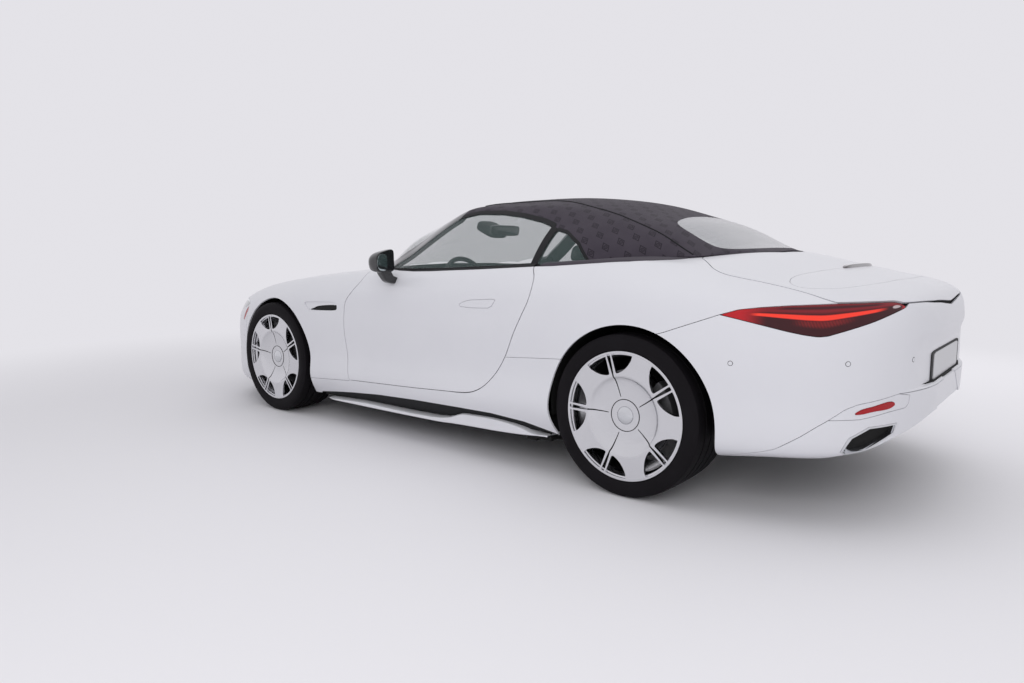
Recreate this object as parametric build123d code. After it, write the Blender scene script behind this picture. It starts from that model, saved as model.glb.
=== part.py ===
from build123d import *
import os

# Two-door soft-top roadster.  Millimetres, front towards -Y, left side towards +X, +Z up.
# The ground is z = 0 and the origin is at the middle of the overall length.

# Overall layout
wheelbase = 2700.0
front_overhang = 940.0
rear_overhang = 1057.0
length = wheelbase + front_overhang + rear_overhang
front_axle = front_overhang - length / 2
rear_axle = front_axle + wheelbase

# Wheels and brakes
tyre_face_x = 950.0            # outer side of both tyres
front_tyre_radius = 363.0
front_tyre_width = 275.0
rear_tyre_radius = 358.0
rear_tyre_width = 305.0
tyre_wall = 12.0
tyre_shoulder = 14.0
rim_flange_radius = 283.5
rim_seat_radius = 266.0
rim_barrel_wall = 9.0
rim_inset = 5.0                # rim edge behind the tyre's side
rim_face_wall = 22.0
rim_dish = 24.0                # hub face behind the rim's edge
rim_flange = 8.0               # width of the rim's flange
rim_ramp = 4.0                 # slope from the flange down to the bead's seat
rim_lip_radius = 262.0
face_knee_radius = 168.0       # where the wheel's face turns flatter
hub_radius = 72.0
hub_length = 46.0
cap_radius = 44.0
cap_stand = 8.0                # hub cap behind the rim's edge
stub_radius = 30.0
running_gap = 0.05             # radial play of a shaft in its hole
window_inner = 175.0
window_outer = 256.0
window_half_angle = 21.0
spoke_width = 26.0
spoke_count = 5
disc_radius = 195.0
disc_hole_radius = 60.0
disc_width = 30.0
caliper_gap = 4.0
caliper_wall = 14.0
caliper_inner = 138.0          # radius of the caliper's lower edge
caliper_arc = 56.0
caliper_angle = 20.0
arch_radius = 396.0
liner_radius = 402.0
liner_wall = 6.0

# Body
skin = 12.0                    # outer panels
door_depth = 75.0
door_sink = 30.0
seat_gap = 0.3                 # between fixed pieces that seat on each other
shut_gap = 5.0                 # round every moving panel
glass_wall = 5.0
roof_wall = 22.0
frame_wall = 34.0
floor_bottom = 150.0
floor_wall = 15.0
floor_top = floor_bottom + floor_wall
far = 3000.0                   # beyond the car on any side

# Half sections of the body.  Each row is an axle, a distance behind it, the height on the centre line,
# and then x and z in turn for eight points from the sill's lower edge up and over to the bonnet.
body_rows = [
    ("f", -939.5, 605, 250, 330, 300, 345, 330, 420, 325, 500, 310, 548, 280, 580, 220, 594, 120, 602),
    ("f", -911.5, 666, 400, 178, 470, 205, 500, 380, 490, 520, 468, 588, 430, 628, 330, 650, 180, 662),
    ("f", -861.5, 718, 520, 130, 600, 168, 625, 365, 614, 535, 586, 612, 540, 660, 420, 692, 220, 712),
    ("f", -781.5, 764, 640, 118, 708, 160, 728, 362, 720, 545, 694, 632, 640, 688, 500, 728, 260, 757),
    ("f", -661.5, 812, 740, 118, 800, 165, 812, 370, 806, 565, 778, 655, 722, 720, 580, 765, 300, 803),
    ("f", -481.5, 857, 822, 125, 880, 185, 890, 380, 884, 588, 852, 684, 790, 756, 655, 798, 335, 846),
    ("f", -271.5, 892, 862, 140, 925, 225, 930, 400, 924, 605, 892, 722, 816, 806, 690, 836, 355, 880),
    ("f", 15.5, 919, 872, 150, 946, 245, 948, 400, 945, 625, 917, 762, 828, 856, 705, 874, 365, 908),
    ("f", 408.5, 953, 882, 165, 946, 282, 938, 430, 943, 660, 921, 812, 840, 900, 712, 908, 372, 942),
    ("f", 808.5, 980, 892, 172, 950, 300, 937, 450, 942, 680, 926, 842, 856, 932, 722, 942, 382, 970),
    ("f", 1308.5, 990, 900, 181, 953, 310, 936, 465, 941, 700, 926, 862, 870, 948, 740, 972, 400, 985),
    ("r", -891.5, 1005, 905, 192, 955, 320, 938, 475, 943, 715, 928, 878, 870, 972, 760, 990, 400, 1000),
    ("r", -491.5, 1030, 905, 204, 958, 330, 946, 490, 951, 730, 931, 902, 862, 994, 760, 1010, 400, 1025),
    ("r", 14.5, 1056, 892, 215, 957, 300, 957, 500, 955, 720, 925, 905, 830, 1006, 720, 1030, 400, 1050),
    ("r", 368.5, 1052, 862, 240, 930, 290, 940, 500, 935, 720, 896, 882, 792, 962, 690, 992, 380, 1038),
    ("r", 568.5, 1008, 822, 260, 895, 300, 905, 500, 900, 710, 862, 852, 772, 920, 660, 953, 360, 996),
    ("r", 768.5, 963, 752, 275, 815, 310, 830, 500, 828, 700, 802, 802, 732, 876, 620, 916, 340, 954),
    ("r", 903.5, 937, 642, 290, 702, 322, 718, 490, 716, 690, 696, 792, 642, 864, 540, 900, 300, 930),
    ("r", 978.5, 914, 522, 310, 575, 342, 602, 490, 600, 690, 585, 790, 540, 856, 450, 884, 250, 908),
    ("r", 1028.5, 874, 400, 350, 430, 382, 465, 500, 460, 680, 445, 770, 402, 830, 330, 852, 180, 870),
    ("r", 1057.0, 762, 250, 420, 270, 442, 290, 520, 282, 640, 270, 700, 240, 740, 200, 752, 110, 760),
]

# Half sections above the belt: belt (x, z), edge where glass or cloth turns over (x, z), centre z.
roof_rows = [
    ("f", 628.5, (150, 960), (140, 966), 986),
    ("f", 708.5, (430, 962), (420, 974), 1046),
    ("f", 858.5, (655, 963), (640, 980), 1130),
    ("f", 1025.5, (790, 960), (752, 988), 1214),
    ("f", 1170.5, (830, 958), (705, 1080), 1278),
    ("f", 1308.5, (845, 960), (655, 1180), 1320),
    ("f", 1440.5, (848, 962), (612, 1262), 1342),
    ("r", -937.5, (850, 975), (588, 1280), 1356),
    ("r", -641.5, (845, 988), (583, 1270), 1348),
    ("r", -341.5, (815, 1005), (588, 1218), 1305),
    ("r", -144.5, (743, 1024), (608, 1162), 1248),
    ("r", 24.5, (683, 1034), (606, 1110), 1194),
    ("r", 149.5, (646, 1036), (583, 1069), 1138),
    ("r", 241.5, (440, 1046), (412, 1063), 1102),
    ("r", 360.5, (153, 1050), (143, 1057), 1065),
]


def fy(offset):
    return front_axle + offset


def ry(offset):
    return rear_axle + offset


def along(anchor, offset):
    return fy(offset) if anchor == "f" else ry(offset)


# Outlines are lists of points: side outlines are (y, z), plan outlines (x, y), front outlines (x, z)
def from_front(*points):
    return [(fy(offset), z) for offset, z in points]


def from_rear(*points):
    return [(ry(offset), z) for offset, z in points]


def block(x0, x1, y0, y1, z0, z1):
    return Pos((x0 + x1) / 2, (y0 + y1) / 2, (z0 + z1) / 2) * Box(x1 - x0, y1 - y0, z1 - z0)


def rod_x(x0, x1, y, z, radius):
    return Pos((x0 + x1) / 2, y, z) * Rot(0, 90, 0) * Cylinder(radius, x1 - x0)


def rod_y(x, y0, y1, z, radius):
    return Pos(x, (y0 + y1) / 2, z) * Rot(90, 0, 0) * Cylinder(radius, y1 - y0)


def rod_z(x, y, z0, z1, radius):
    return Pos(x, y, (z0 + z1) / 2) * Cylinder(radius, z1 - z0)


def grown(points, gap):
    # moves every side of a closed outline outwards by the gap and mitres the corners
    if not gap:
        return points
    area = sum(p[0] * q[1] - q[0] * p[1] for p, q in zip(points, points[1:] + points[:1]))
    turn = 1 if area > 0 else -1
    moved = []
    for i, here in enumerate(points):
        before = points[i - 1]
        after = points[(i + 1) % len(points)]
        a = (Vector(*here) - Vector(*before)).normalized()
        b = (Vector(*after) - Vector(*here)).normalized()
        na = Vector(a.Y, -a.X) * turn
        nb = Vector(b.Y, -b.X) * turn
        middle = (na + nb).normalized()
        reach = gap / max(middle.dot(na), 0.35)
        moved.append((here[0] + middle.X * reach, here[1] + middle.Y * reach))
    return moved


def side_prism(points, x0=0.0, x1=far, gap=0.0):
    face = make_face(Polyline([(x0, y, z) for y, z in grown(points, gap)], close=True))
    return extrude(face, amount=x1 - x0, dir=(1, 0, 0))


def plan_prism(points, z0, z1, gap=0.0):
    face = make_face(Polyline([(x, y, z0) for x, y in grown(points, gap)], close=True))
    return extrude(face, amount=z1 - z0, dir=(0, 0, 1))


def front_prism(points, y0, y1, gap=0.0):
    face = make_face(Polyline([(x, y0, z) for x, z in grown(points, gap)], close=True))
    return extrude(face, amount=y1 - y0, dir=(0, 1, 0))


def mirrored(points):
    return points + [(-x, y) for x, y in reversed(points) if x > 0]


def other_side(shape):
    return mirror(shape, about=Plane.YZ)


def both(shape):
    return shape + other_side(shape)


def shift(shape, x=0.0, y=0.0, z=0.0):
    return Pos(x, y, z) * shape


def pieces(shape):
    if isinstance(shape, (list, tuple)):
        return [solid for item in shape for solid in item.solids()]
    return list(shape.solids())


def biggest(shape):
    return Compound(sorted(pieces(shape), key=lambda s: -s.volume)[:1])


nodes = {}
least_volume = 200.0           # slivers under this, in cubic millimetres, are dropped


def keep(name, shape):
    nodes[name] = [s for s in pieces(shape) if s.volume > least_volume]


def body_section(y, top, *places):
    p = [(x, y, z) for x, z in zip(places[::2], places[1::2])]
    crown = (0, y, top)
    foot = (0, y, p[0][2])
    return make_face([
        Line(foot, p[0]),
        Line(p[0], p[1]),
        ThreePointArc(p[1], p[2], p[3]),
        ThreePointArc(p[3], p[4], p[5]),
        ThreePointArc(p[5], p[6], p[7]),
        Line(p[7], crown),
        Line(crown, foot),
    ])


roof_foot_z = 860.0            # the roof's sections run down into the body to here


def roof_section(y, belt, edge, top):
    # the arc over the top goes through the edge and is level on the centre line
    centre_z = (edge[0] ** 2 + edge[1] ** 2 - top ** 2) / (2 * (edge[1] - top))
    radius = top - centre_z
    mid_x = edge[0] / 2
    mid_z = centre_z + (radius ** 2 - mid_x ** 2) ** 0.5
    return make_face([
        Line((0, y, roof_foot_z), (belt[0], y, roof_foot_z)),
        Line((belt[0], y, roof_foot_z), (belt[0], y, belt[1])),
        Line((belt[0], y, belt[1]), (edge[0], y, edge[1])),
        ThreePointArc((edge[0], y, edge[1]), (mid_x, y, mid_z), (0, y, top)),
        Line((0, y, top), (0, y, roof_foot_z)),
    ])


# Half volumes, from which every panel is cut; a panel's wall is what is left when the same volume,
# moved inwards, is taken away
body = loft([body_section(along(*row[:2]), *row[2:]) for row in body_rows], ruled=True)
roof = loft([roof_section(along(*row[:2]), *row[2:]) for row in roof_rows], ruled=True)
body_front = body & block(0, far, fy(-1100), fy(1070), 0, 1500)
body_middle = body & block(0, far, fy(300), ry(200), 0, 1500)
body_rear = body & block(0, far, ry(-700), ry(1100), 0, 1500)
front_skin = body_front - shift(body_front, -skin, skin, -skin)
rear_skin = body_rear - shift(body_rear, -skin, -skin, -skin)
mid_skin = body_middle - shift(body_middle, -skin, 0, -skin)
door_slab = body_middle - shift(body_middle, -door_depth, 0, -door_sink)
wall_room = skin + seat_gap
inside_front = shift(body, -wall_room, wall_room, -wall_room)
inside_rear = shift(body, -wall_room, -wall_room, -wall_room)
inside_top = shift(body, 0, 0, -wall_room)

# Shut lines
door_front_line = from_front((920.5, 960), (908.5, 900), (848.5, 830), (790.5, 764), (776.5, 690), (774.5, 560),
                             (787.5, 483), (806.5, 341))
door_sill_line = from_front((818.5, 300), (1376.5, 323)) + from_rear((-991.5, 341))
door_rear_line = from_rear((-927.5, 346), (-863.5, 360), (-802.5, 390), (-728.5, 459), (-658.5, 557),
                           (-584.5, 697), (-530.5, 815), (-508.5, 943), (-505.5, 1010))
door_outline = door_front_line + door_sill_line + door_rear_line
bonnet_half = [(0, fy(593.5)), (400, fy(648.5)), (620, fy(768.5)), (700, fy(848.5)), (690, fy(408.5)),
               (680, fy(8.5)), (655, fy(-291.5)), (620, fy(-491.5)), (560, fy(-641.5)), (480, fy(-741.5)),
               (350, fy(-806.5)), (200, fy(-831.5)), (0, fy(-841.5))]
lid_half = [(0, ry(372)), (156, ry(370)), (446, ry(252)), (604, ry(180)), (624, ry(197)), (694, ry(256)),
            (757, ry(313)), (776, ry(356)), (778, ry(399)), (761, ry(514)), (748, ry(611)), (741, ry(692)),
            (738, ry(746)), (727, ry(793)), (650, ry(890)), (535, ry(974)), (344, ry(1022)), (180, ry(1036)),
            (0, ry(1042))]
head_lamp = from_front((-336, 690), (-440, 716), (-640, 712), (-860, 676), (-890, 612), (-800, 590),
                       (-500, 642))
tail_lamp = from_rear((421, 820), (480, 834), (552, 847), (680, 858), (890, 866), (975, 866), (1040, 868),
                      (985, 846), (924, 801), (848, 760), (762, 748), (667, 760), (564, 781))

belt_inner_x = 792.0           # the door's inner edge at the belt
corner_room = 6.0              # the door's lower front corner stands outside its hinge line and swings forward
corner_outline = (from_front((787.5 - corner_room, 483), (806.5 - corner_room, 341), (818.5 - corner_room, 296))
                  + from_front((900, 296), (900, 483)))
door_prism = side_prism(door_outline, belt_inner_x, far, -shut_gap)
door_cut = side_prism(door_outline, 300, far) + side_prism(corner_outline, 300, far)
bonnet_prism = plan_prism(mirrored(bonnet_half), 300, 1400)
bonnet_cut = plan_prism(mirrored(bonnet_half), 300, 1400, shut_gap)
lid_prism = plan_prism(mirrored(lid_half), 780, 1400)
lid_cut = plan_prism(mirrored(lid_half), 740, 1400, shut_gap)
front_arch = rod_x(400, far, front_axle, front_tyre_radius, arch_radius)
rear_arch = rod_x(400, far, rear_axle, rear_tyre_radius, arch_radius)

# Front end
head_lamp_x = 560.0            # the lamp's inner end
nose = front_skin & block(0, far, fy(-1100), fy(960), 0, 1500)
nose = nose - block(0, 705, fy(850), fy(1000), 0, 1500) - bonnet_cut
bonnet_shell = both((body_front & bonnet_prism) - shift(body_front, 0, 0, -skin))
head_lamp_left = nose & side_prism(head_lamp, head_lamp_x)
nose = nose - side_prism(head_lamp, head_lamp_x - seat_gap, far, seat_gap)
bumper_outline = from_front((-1100, 0), (-393, 0), (-393, 560), (-345, 640), (-336, 690), (-500, 700),
                            (-700, 760), (-1100, 760))
wing_outline = from_front((-1100, 0), (380, 0), (470, 268), (790, 295), (790, 420), (1000, 420), (1000, 1400),
                          (-1100, 1400))
bumper_left = (nose & side_prism(bumper_outline)) - front_arch
wing_left = nose - side_prism(bumper_outline, -10, far, seat_gap)
wing_left = wing_left & block(560, far, fy(-1100), fy(960), 0, 1500)
wing_left = (wing_left - front_arch - door_cut) & side_prism(wing_outline)

grille_half = [(0, 330), (230, 335), (262, 420), (240, 540), (0, 572)]
grille_front = fy(-925)
grille_back = fy(-901)
bar_count = 14
bar_pitch = 34.0
bar_width = 10.0
bar_depth = 20.0
mesh_depth = 8.0
grille = block(-300, 300, grille_back - mesh_depth, grille_back, 320, 600)
for i in range(bar_count):
    x0 = (i - (bar_count - 1) / 2) * bar_pitch - bar_width / 2
    grille = grille + block(x0, x0 + bar_width, grille_front, grille_front + bar_depth, 300, 620)
grille = grille & front_prism(mirrored(grille_half), fy(-1100), fy(-800), -seat_gap)
keep("front_bumper", both(bumper_left) - front_prism(mirrored(grille_half), fy(-1100), fy(-800)))
keep("front_grille", grille)
keep("headlamps", both(biggest(head_lamp_left)))
keep("front_wings", both(biggest(wing_left)))

# Sill covers, with their upper edge under the door
sill_rear_y = ry(-380)
sill_rear_z = 352.0
sill_outline = [(fy(380) + seat_gap, 0), (fy(470) + seat_gap, 268 - seat_gap), (fy(806), 296 - seat_gap)]
sill_outline = sill_outline + [(y, z - seat_gap) for y, z in door_sill_line]
sill_outline = sill_outline + [(sill_rear_y, sill_rear_z), (sill_rear_y, 0)]
sill_left = (mid_skin & side_prism(sill_outline, 500)) - front_arch - rear_arch
keep("sill_covers", both(biggest(sill_left)))

# Tail
tail = rear_skin + (mid_skin & block(0, far, ry(-950), ry(-700), 0, 1500))
lid_rear_wall = 6.0
lid = (body_rear & lid_prism) - shift(body_rear, 0, -lid_rear_wall, -skin)
lid = both(lid - side_prism(tail_lamp, 300, far, shut_gap))
tail_skin = tail - lid_cut
tail_lamp_left = tail_skin & side_prism(tail_lamp, 300)
tail_skin = tail_skin - side_prism(tail_lamp, 300 - seat_gap, far, seat_gap)
# the bumper reaches up to the lamp's lower edge
rear_bumper_outline = from_rear((300, 0), (300, 300), (421, 820), (564, 781), (667, 760), (762, 748),
                                (848, 760), (924, 801), (985, 846), (1040, 868), (1100, 900), (1100, 0))
rear_left = (tail_skin & side_prism(rear_bumper_outline)) - rear_arch
rear_left = rear_left & block(0, far, ry(394), ry(1100), 0, 1500)
quarter_plan = [(belt_inner_x, ry(-1000)), (belt_inner_x, ry(-300)), (740, ry(-100)), (600, ry(200)),
                (600, ry(1100)), (far, ry(1100)), (far, ry(-1000))]
quarter = tail_skin - side_prism(rear_bumper_outline, -10, far, seat_gap)
quarter = (quarter & plan_prism(quarter_plan, 0, 1500)) - rear_arch - door_cut
sill_end = [(ry(-1000), 0), (ry(-1000), sill_rear_z), (sill_rear_y, sill_rear_z), (sill_rear_y, 0)]
quarter = quarter - side_prism(sill_end, 0, far, seat_gap)

diffuser_outline = from_rear((300, 0), (300, 255), (504, 274), (637, 316), (719, 372), (764, 409), (801, 437),
                             (849, 479), (884, 497), (941, 511), (986, 527), (1100, 527), (1100, 0))
tip_outline = from_rear((835, 318), (862, 370), (915, 410), (985, 415), (975, 372), (905, 318), (850, 300))
tip_inner_x = 560.0
tip_wall = 8.0
tip_length = 40.0
plate_hole_radius = 3.5
plate_hole_x = 120.0
plate_hole_z = 620.0
rear_bumper = both(rear_left - side_prism(diffuser_outline, -10, far, seat_gap))
for hole_x in (-plate_hole_x, plate_hole_x):
    rear_bumper = rear_bumper - rod_y(hole_x, ry(1017), ry(1097), plate_hole_z, plate_hole_radius)
diffuser_left = (rear_left & side_prism(diffuser_outline)) - side_prism(tip_outline, tip_inner_x)
tips = side_prism(tip_outline, tip_inner_x, far, -seat_gap)
tips = tips - side_prism(tip_outline, tip_inner_x, far, -tip_wall)
tips = tips & (body - shift(body, -tip_length, -tip_length, 0))
keep("rear_bumper", rear_bumper)
keep("rear_diffuser", both(diffuser_left))
keep("exhaust_tips", both(biggest(tips)))
keep("tail_lamps", both(biggest(tail_lamp_left)))
keep("rear_quarters", both(biggest(quarter)))
keep("boot_lid", biggest(lid))

# Doors and their hinges
hinge_x = 925.0
hinge_y = fy(908.5)
hinge_levels = (430.0, 700.0)
hinge_pin_radius = 6.0
hinge_eye_radius = 9.0
hinge_arm_height = 36.0
hinge_arm_wall = 12.0
pin_reach = 14.0               # of the pin, above and below its eye
pin_hole_reach = 16.0
arm_reach = 115.0              # the arm stands this far inside its pin, so the door's edge turns round it
arm_room = 4.0                 # between the arm and the door's pocket
post_rear = fy(748.5)
door = biggest(door_slab & door_prism)
half_arm = hinge_arm_height / 2
half_wall = hinge_arm_wall / 2
arms = []
for level in hinge_levels:
    low = level - half_arm
    high = level + half_arm
    door = door - block(hinge_x - arm_reach - 25, hinge_x + hinge_eye_radius + 1.5, hinge_y - 180,
                        hinge_y + hinge_eye_radius + 2, low - arm_room, high + arm_room)
    door = door - rod_z(hinge_x, hinge_y, low - pin_hole_reach, high + pin_hole_reach,
                        hinge_pin_radius + running_gap)
    inner = hinge_x - arm_reach
    arm = block(inner - half_wall, inner + half_wall, post_rear, hinge_y + half_wall, low, high)
    arm = arm + block(inner - half_wall, hinge_x, hinge_y - half_wall, hinge_y + half_wall, low, high)
    arm = arm + rod_z(hinge_x, hinge_y, low, high, hinge_eye_radius)
    arm = arm + rod_z(hinge_x, hinge_y, low - pin_reach, high + pin_reach, hinge_pin_radius)
    arms.append(arm)
keep("door_left", door)
keep("door_right", other_side(door))

# Roof and glass
body_up = shift(body, 0, 0, seat_gap)
glass_shell = roof - shift(roof, -glass_wall, 0, -glass_wall)
cloth_shell = roof - shift(roof, -roof_wall, 0, -roof_wall)
frame_shell = roof - shift(roof, -frame_wall, 0, -frame_wall)
screen_half = [(0, fy(600)), (420, fy(690)), (620, fy(830)), (722, fy(1012)), (580, fy(1425)), (300, fy(1355)),
               (0, fy(1330))]
frame_half = [(0, fy(560)), (440, fy(640)), (700, fy(800)), (812, fy(985)), (655, fy(1475)), (600, fy(1478)),
              (300, fy(1400)), (0, fy(1372))]
rear_glass_half = [(0, ry(60)), (470, ry(40)), (500, ry(70)), (440, ry(215)), (390, ry(240)), (0, ry(262))]
window_top = (from_front((1110, 1020), (1200, 1090), (1340, 1172), (1480, 1232))
              + from_rear((-1100, 1254), (-940, 1246), (-790, 1228), (-640, 1196), (-561, 1172)))
window_outline = from_front((1040, 940)) + window_top + from_rear((-585, 970))
window_room = from_front((900, 900)) + window_top + from_rear((-593, 900))
quarter_outline = from_rear((-556, 970), (-522, 1164), (-458, 1149), (-361, 1093), (-278, 1008), (-270, 960))
window_x = 500.0
screen_cut = plan_prism(mirrored(screen_half), 700, 1500, seat_gap)
frame_cut = plan_prism(mirrored(frame_half), 700, 1500, seat_gap)
frame_room = plan_prism(mirrored(frame_half), 700, 1500, shut_gap)
rear_cut = plan_prism(mirrored(rear_glass_half), 900, 1500, seat_gap)
window_cut = side_prism(window_room, window_x - shut_gap, far, shut_gap)
quarter_cut = side_prism(quarter_outline, window_x - shut_gap, far, seat_gap)
screen = (glass_shell & plan_prism(mirrored(screen_half), 700, 1500)) - body_up
frame = (frame_shell & plan_prism(mirrored(frame_half), 700, 1500)) - screen_cut - body_up
frame = frame & block(0, far, fy(1000), fy(1600), 900, 1500)
door_glass = biggest((glass_shell & side_prism(window_outline, window_x)) - frame_room - body_up)
quarter_glass = biggest((glass_shell & side_prism(quarter_outline, window_x)) - body_up)
rear_glass = (glass_shell & plan_prism(mirrored(rear_glass_half), 900, 1500)) - body_up
soft_top = cloth_shell & block(0, far, fy(1300), ry(1000), 900, 1500)
soft_top = soft_top - frame_cut - window_cut - quarter_cut - rear_cut - body_up
keep("windscreen", biggest(both(screen)))
keep("windscreen_frame", both(frame))
keep("soft_top", biggest(both(soft_top)))
keep("rear_window", biggest(both(rear_glass)))
keep("door_glass_left", door_glass)
keep("door_glass_right", other_side(door_glass))
keep("quarter_windows", both(quarter_glass))

# Cowl between the bonnet and the windscreen
cowl_half = [(0, fy(598.5)), (400, fy(653.5)), (620, fy(773.5)), (655, fy(806)), (655, fy(922)), (787, fy(922)),
             (787, fy(1060)), (700, fy(1060)), (640, fy(940)), (420, fy(800)), (0, fy(720))]
cowl = (body_front - shift(body_front, 0, 0, -skin)) & plan_prism(cowl_half, 700, 1300)
keep("cowl_panel", both(biggest(cowl - bonnet_cut)))

# Floor and sills
firewall_y = fy(648.5)
firewall_wall = 20.0
cabin_rear = ry(-201.5)
floor_split = ry(-431.5)       # behind this the floor is narrower, between the rear wheels
floor_half = 790.0
rear_floor_half = 550.0
tunnel_half = 130.0
tunnel_top = 330.0
sill_outer = 872.0
sill_top = 285.0
pad_half = 30.0
pad_x = 831.0
pad_drop = 6.0                 # the jacking pads stand this far below the floor
pad_places = (fy(600), ry(-560))
floor = block(-floor_half, floor_half, firewall_y, floor_split, floor_bottom, floor_top)
floor = floor + block(-rear_floor_half, rear_floor_half, floor_split, cabin_rear, floor_bottom, floor_top)
floor = floor + block(-tunnel_half, tunnel_half, firewall_y, cabin_rear, floor_top, tunnel_top)
sill_bottom = floor_bottom + 10
sill_box = block(floor_half, sill_outer, fy(470), floor_split, sill_bottom, sill_top)
for pad_y in pad_places:
    sill_box = sill_box + block(pad_x - pad_half, pad_x + pad_half, pad_y - pad_half, pad_y + pad_half,
                                floor_bottom - pad_drop, sill_bottom)
keep("floor_pan", floor)
keep("sills", both(sill_box))

# Firewall with the hinge posts, the door hinges' arms and the bonnet's brackets
firewall_half = 700.0
hood_pivot_y = fy(863.5)
hood_pivot_z = 925.0
hood_pin_radius = 6.0
hood_eye_radius = 12.0
bracket_x = 664.0
bracket_wall = 16.0
hood_arm_x = 684.0
hood_arm_wall = 12.0
hood_arm_front = fy(700)
firewall_front = firewall_y - firewall_wall
firewall = block(0, firewall_half, firewall_front, firewall_y, floor_bottom, 880)
firewall = firewall + (block(0, 250, firewall_front, firewall_y, 870, 1000) & inside_top)
firewall = firewall + (block(firewall_half, far, firewall_front, post_rear, 290, 880) & inside_front)
for arm in arms:
    firewall = firewall + arm
bracket_back = bracket_x + bracket_wall
firewall = firewall + block(bracket_x, bracket_back, firewall_front, hood_pivot_y + 12, 850, 880)
firewall = firewall + block(bracket_x, bracket_back, hood_pivot_y - 12, hood_pivot_y + 12, 850,
                            hood_pivot_z + 8)
firewall = firewall + rod_x(bracket_x, bracket_back + 20, hood_pivot_y, hood_pivot_z, hood_pin_radius)
keep("firewall", both(firewall))

hood_arm_back = hood_arm_x + hood_arm_wall
arm_bottom = hood_pivot_z - 10
hood_arm = block(hood_arm_x, hood_arm_back, hood_arm_front, hood_pivot_y, arm_bottom, hood_pivot_z + 10)
hood_arm = hood_arm + (block(hood_arm_x, hood_arm_back, hood_arm_front, fy(790), arm_bottom, 1000)
                       & shift(body, 0, 0, -skin + 1))
hood_arm = hood_arm + rod_x(hood_arm_x, hood_arm_back, hood_pivot_y, hood_pivot_z, hood_eye_radius)
hood_arm = hood_arm - rod_x(680, 700, hood_pivot_y, hood_pivot_z, hood_pin_radius + running_gap)
keep("bonnet", biggest(biggest(bonnet_shell) + both(hood_arm)))

# Rear bulkhead, the posts behind the doors and the boot's tub
tub_wall = 12.0
post_front = ry(-480)
post_back = ry(-446)
b_post = block(700, far, post_front, post_back, 356, 900) & inside_rear
bulkhead = block(-rear_floor_half, rear_floor_half, cabin_rear, cabin_rear + tub_wall, floor_bottom, 860)
keep("rear_bulkhead", bulkhead)
keep("rear_posts", both(b_post + block(560, 700, post_front, post_back, floor_top, 700)))

boot_floor_z = 380.0
boot_half = 545.0
boot_front = cabin_rear + tub_wall
boot_rear = ry(930)
inside_lid = shift(body, 0, -lid_rear_wall, -wall_room)
boot = block(0, boot_half, boot_front, boot_rear, boot_floor_z, boot_floor_z + tub_wall)
boot = boot + (block(boot_half, boot_half + tub_wall, boot_front, boot_rear, boot_floor_z, 1100) & inside_lid)
boot = boot & shift(body, -wall_room, -wall_room, 0)
boot = boot + (block(0, 520, boot_rear, boot_rear + tub_wall, boot_floor_z, 640) & inside_rear)
boot = boot + (block(0, 480, boot_rear + tub_wall, ry(1100), 470, 540) & inside_rear)
keep("boot_tub", both(biggest(boot)))

# Wheel-arch liners, front rails and skirts
rail_half = 345.0
rail_width = 50.0
rail_bottom = 420.0
rail_top = 500.0
liner_outer_x = 905.0
front_liner_x = 464.0
rear_liner_x = 562.0


def liner(axle_y, radius, inner_x):
    ring = rod_x(inner_x, liner_outer_x, axle_y, radius, liner_radius + liner_wall)
    ring = ring - rod_x(inner_x + liner_wall, far, axle_y, radius, liner_radius)
    return ring & block(inner_x, liner_outer_x, axle_y - 600, axle_y + 600, 300, 1200)


room = skin + 2
front_liner = liner(front_axle, front_tyre_radius, front_liner_x)
front_liner = front_liner & shift(body, -room, room, -room) & shift(body, -room, -room, -room)
front_liner = front_liner - block(0, 520, fy(-80), fy(80), 0, 556)
rear_liner = liner(rear_axle, rear_tyre_radius, rear_liner_x) & shift(body, -room, -room, -room)
rear_liner = rear_liner - block(540, 600, ry(-80), ry(80), 0, 400)
rear_hang = block(boot_half + tub_wall, rear_liner_x, ry(-60), ry(60), 500, 560)
rail_outer = rail_half + rail_width
rails = block(rail_half, rail_outer, fy(-790), firewall_front, rail_bottom, rail_top)
rails = rails + (block(0, far, fy(-830), fy(-790), rail_bottom, rail_top) & inside_front)
rails = rails + block(rail_outer, front_liner_x, fy(-60), fy(60), 560, 590)
rails = rails + block(rail_outer - 30, rail_outer, fy(-60), fy(60), rail_top, 590)
keep("front_rails", both(rails + front_liner))
keep("rear_liners", both(rear_liner + rear_hang))

skirt_half = [(800, 148), (900, 150), (936, 214), (938, 238), (930, 238), (905, 180), (880, 160), (800, 160)]
skirt = front_prism(skirt_half, fy(560), ry(-420)) - shift(body, seat_gap, 0, 0)
pad_room = pad_half + 4
for pad_y in pad_places:
    skirt = skirt - block(0, pad_x + pad_room, pad_y - pad_room, pad_y + pad_room, 0, floor_bottom + 14)
keep("side_skirts", both(biggest(skirt)))


# Wheels, brakes and knuckles, made about the axle with the outer side towards +X
def ray(radius, angle):
    tip = Vector(0, 0, radius).rotate(Axis.X, angle)
    return (0, tip.Y, tip.Z)


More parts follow.
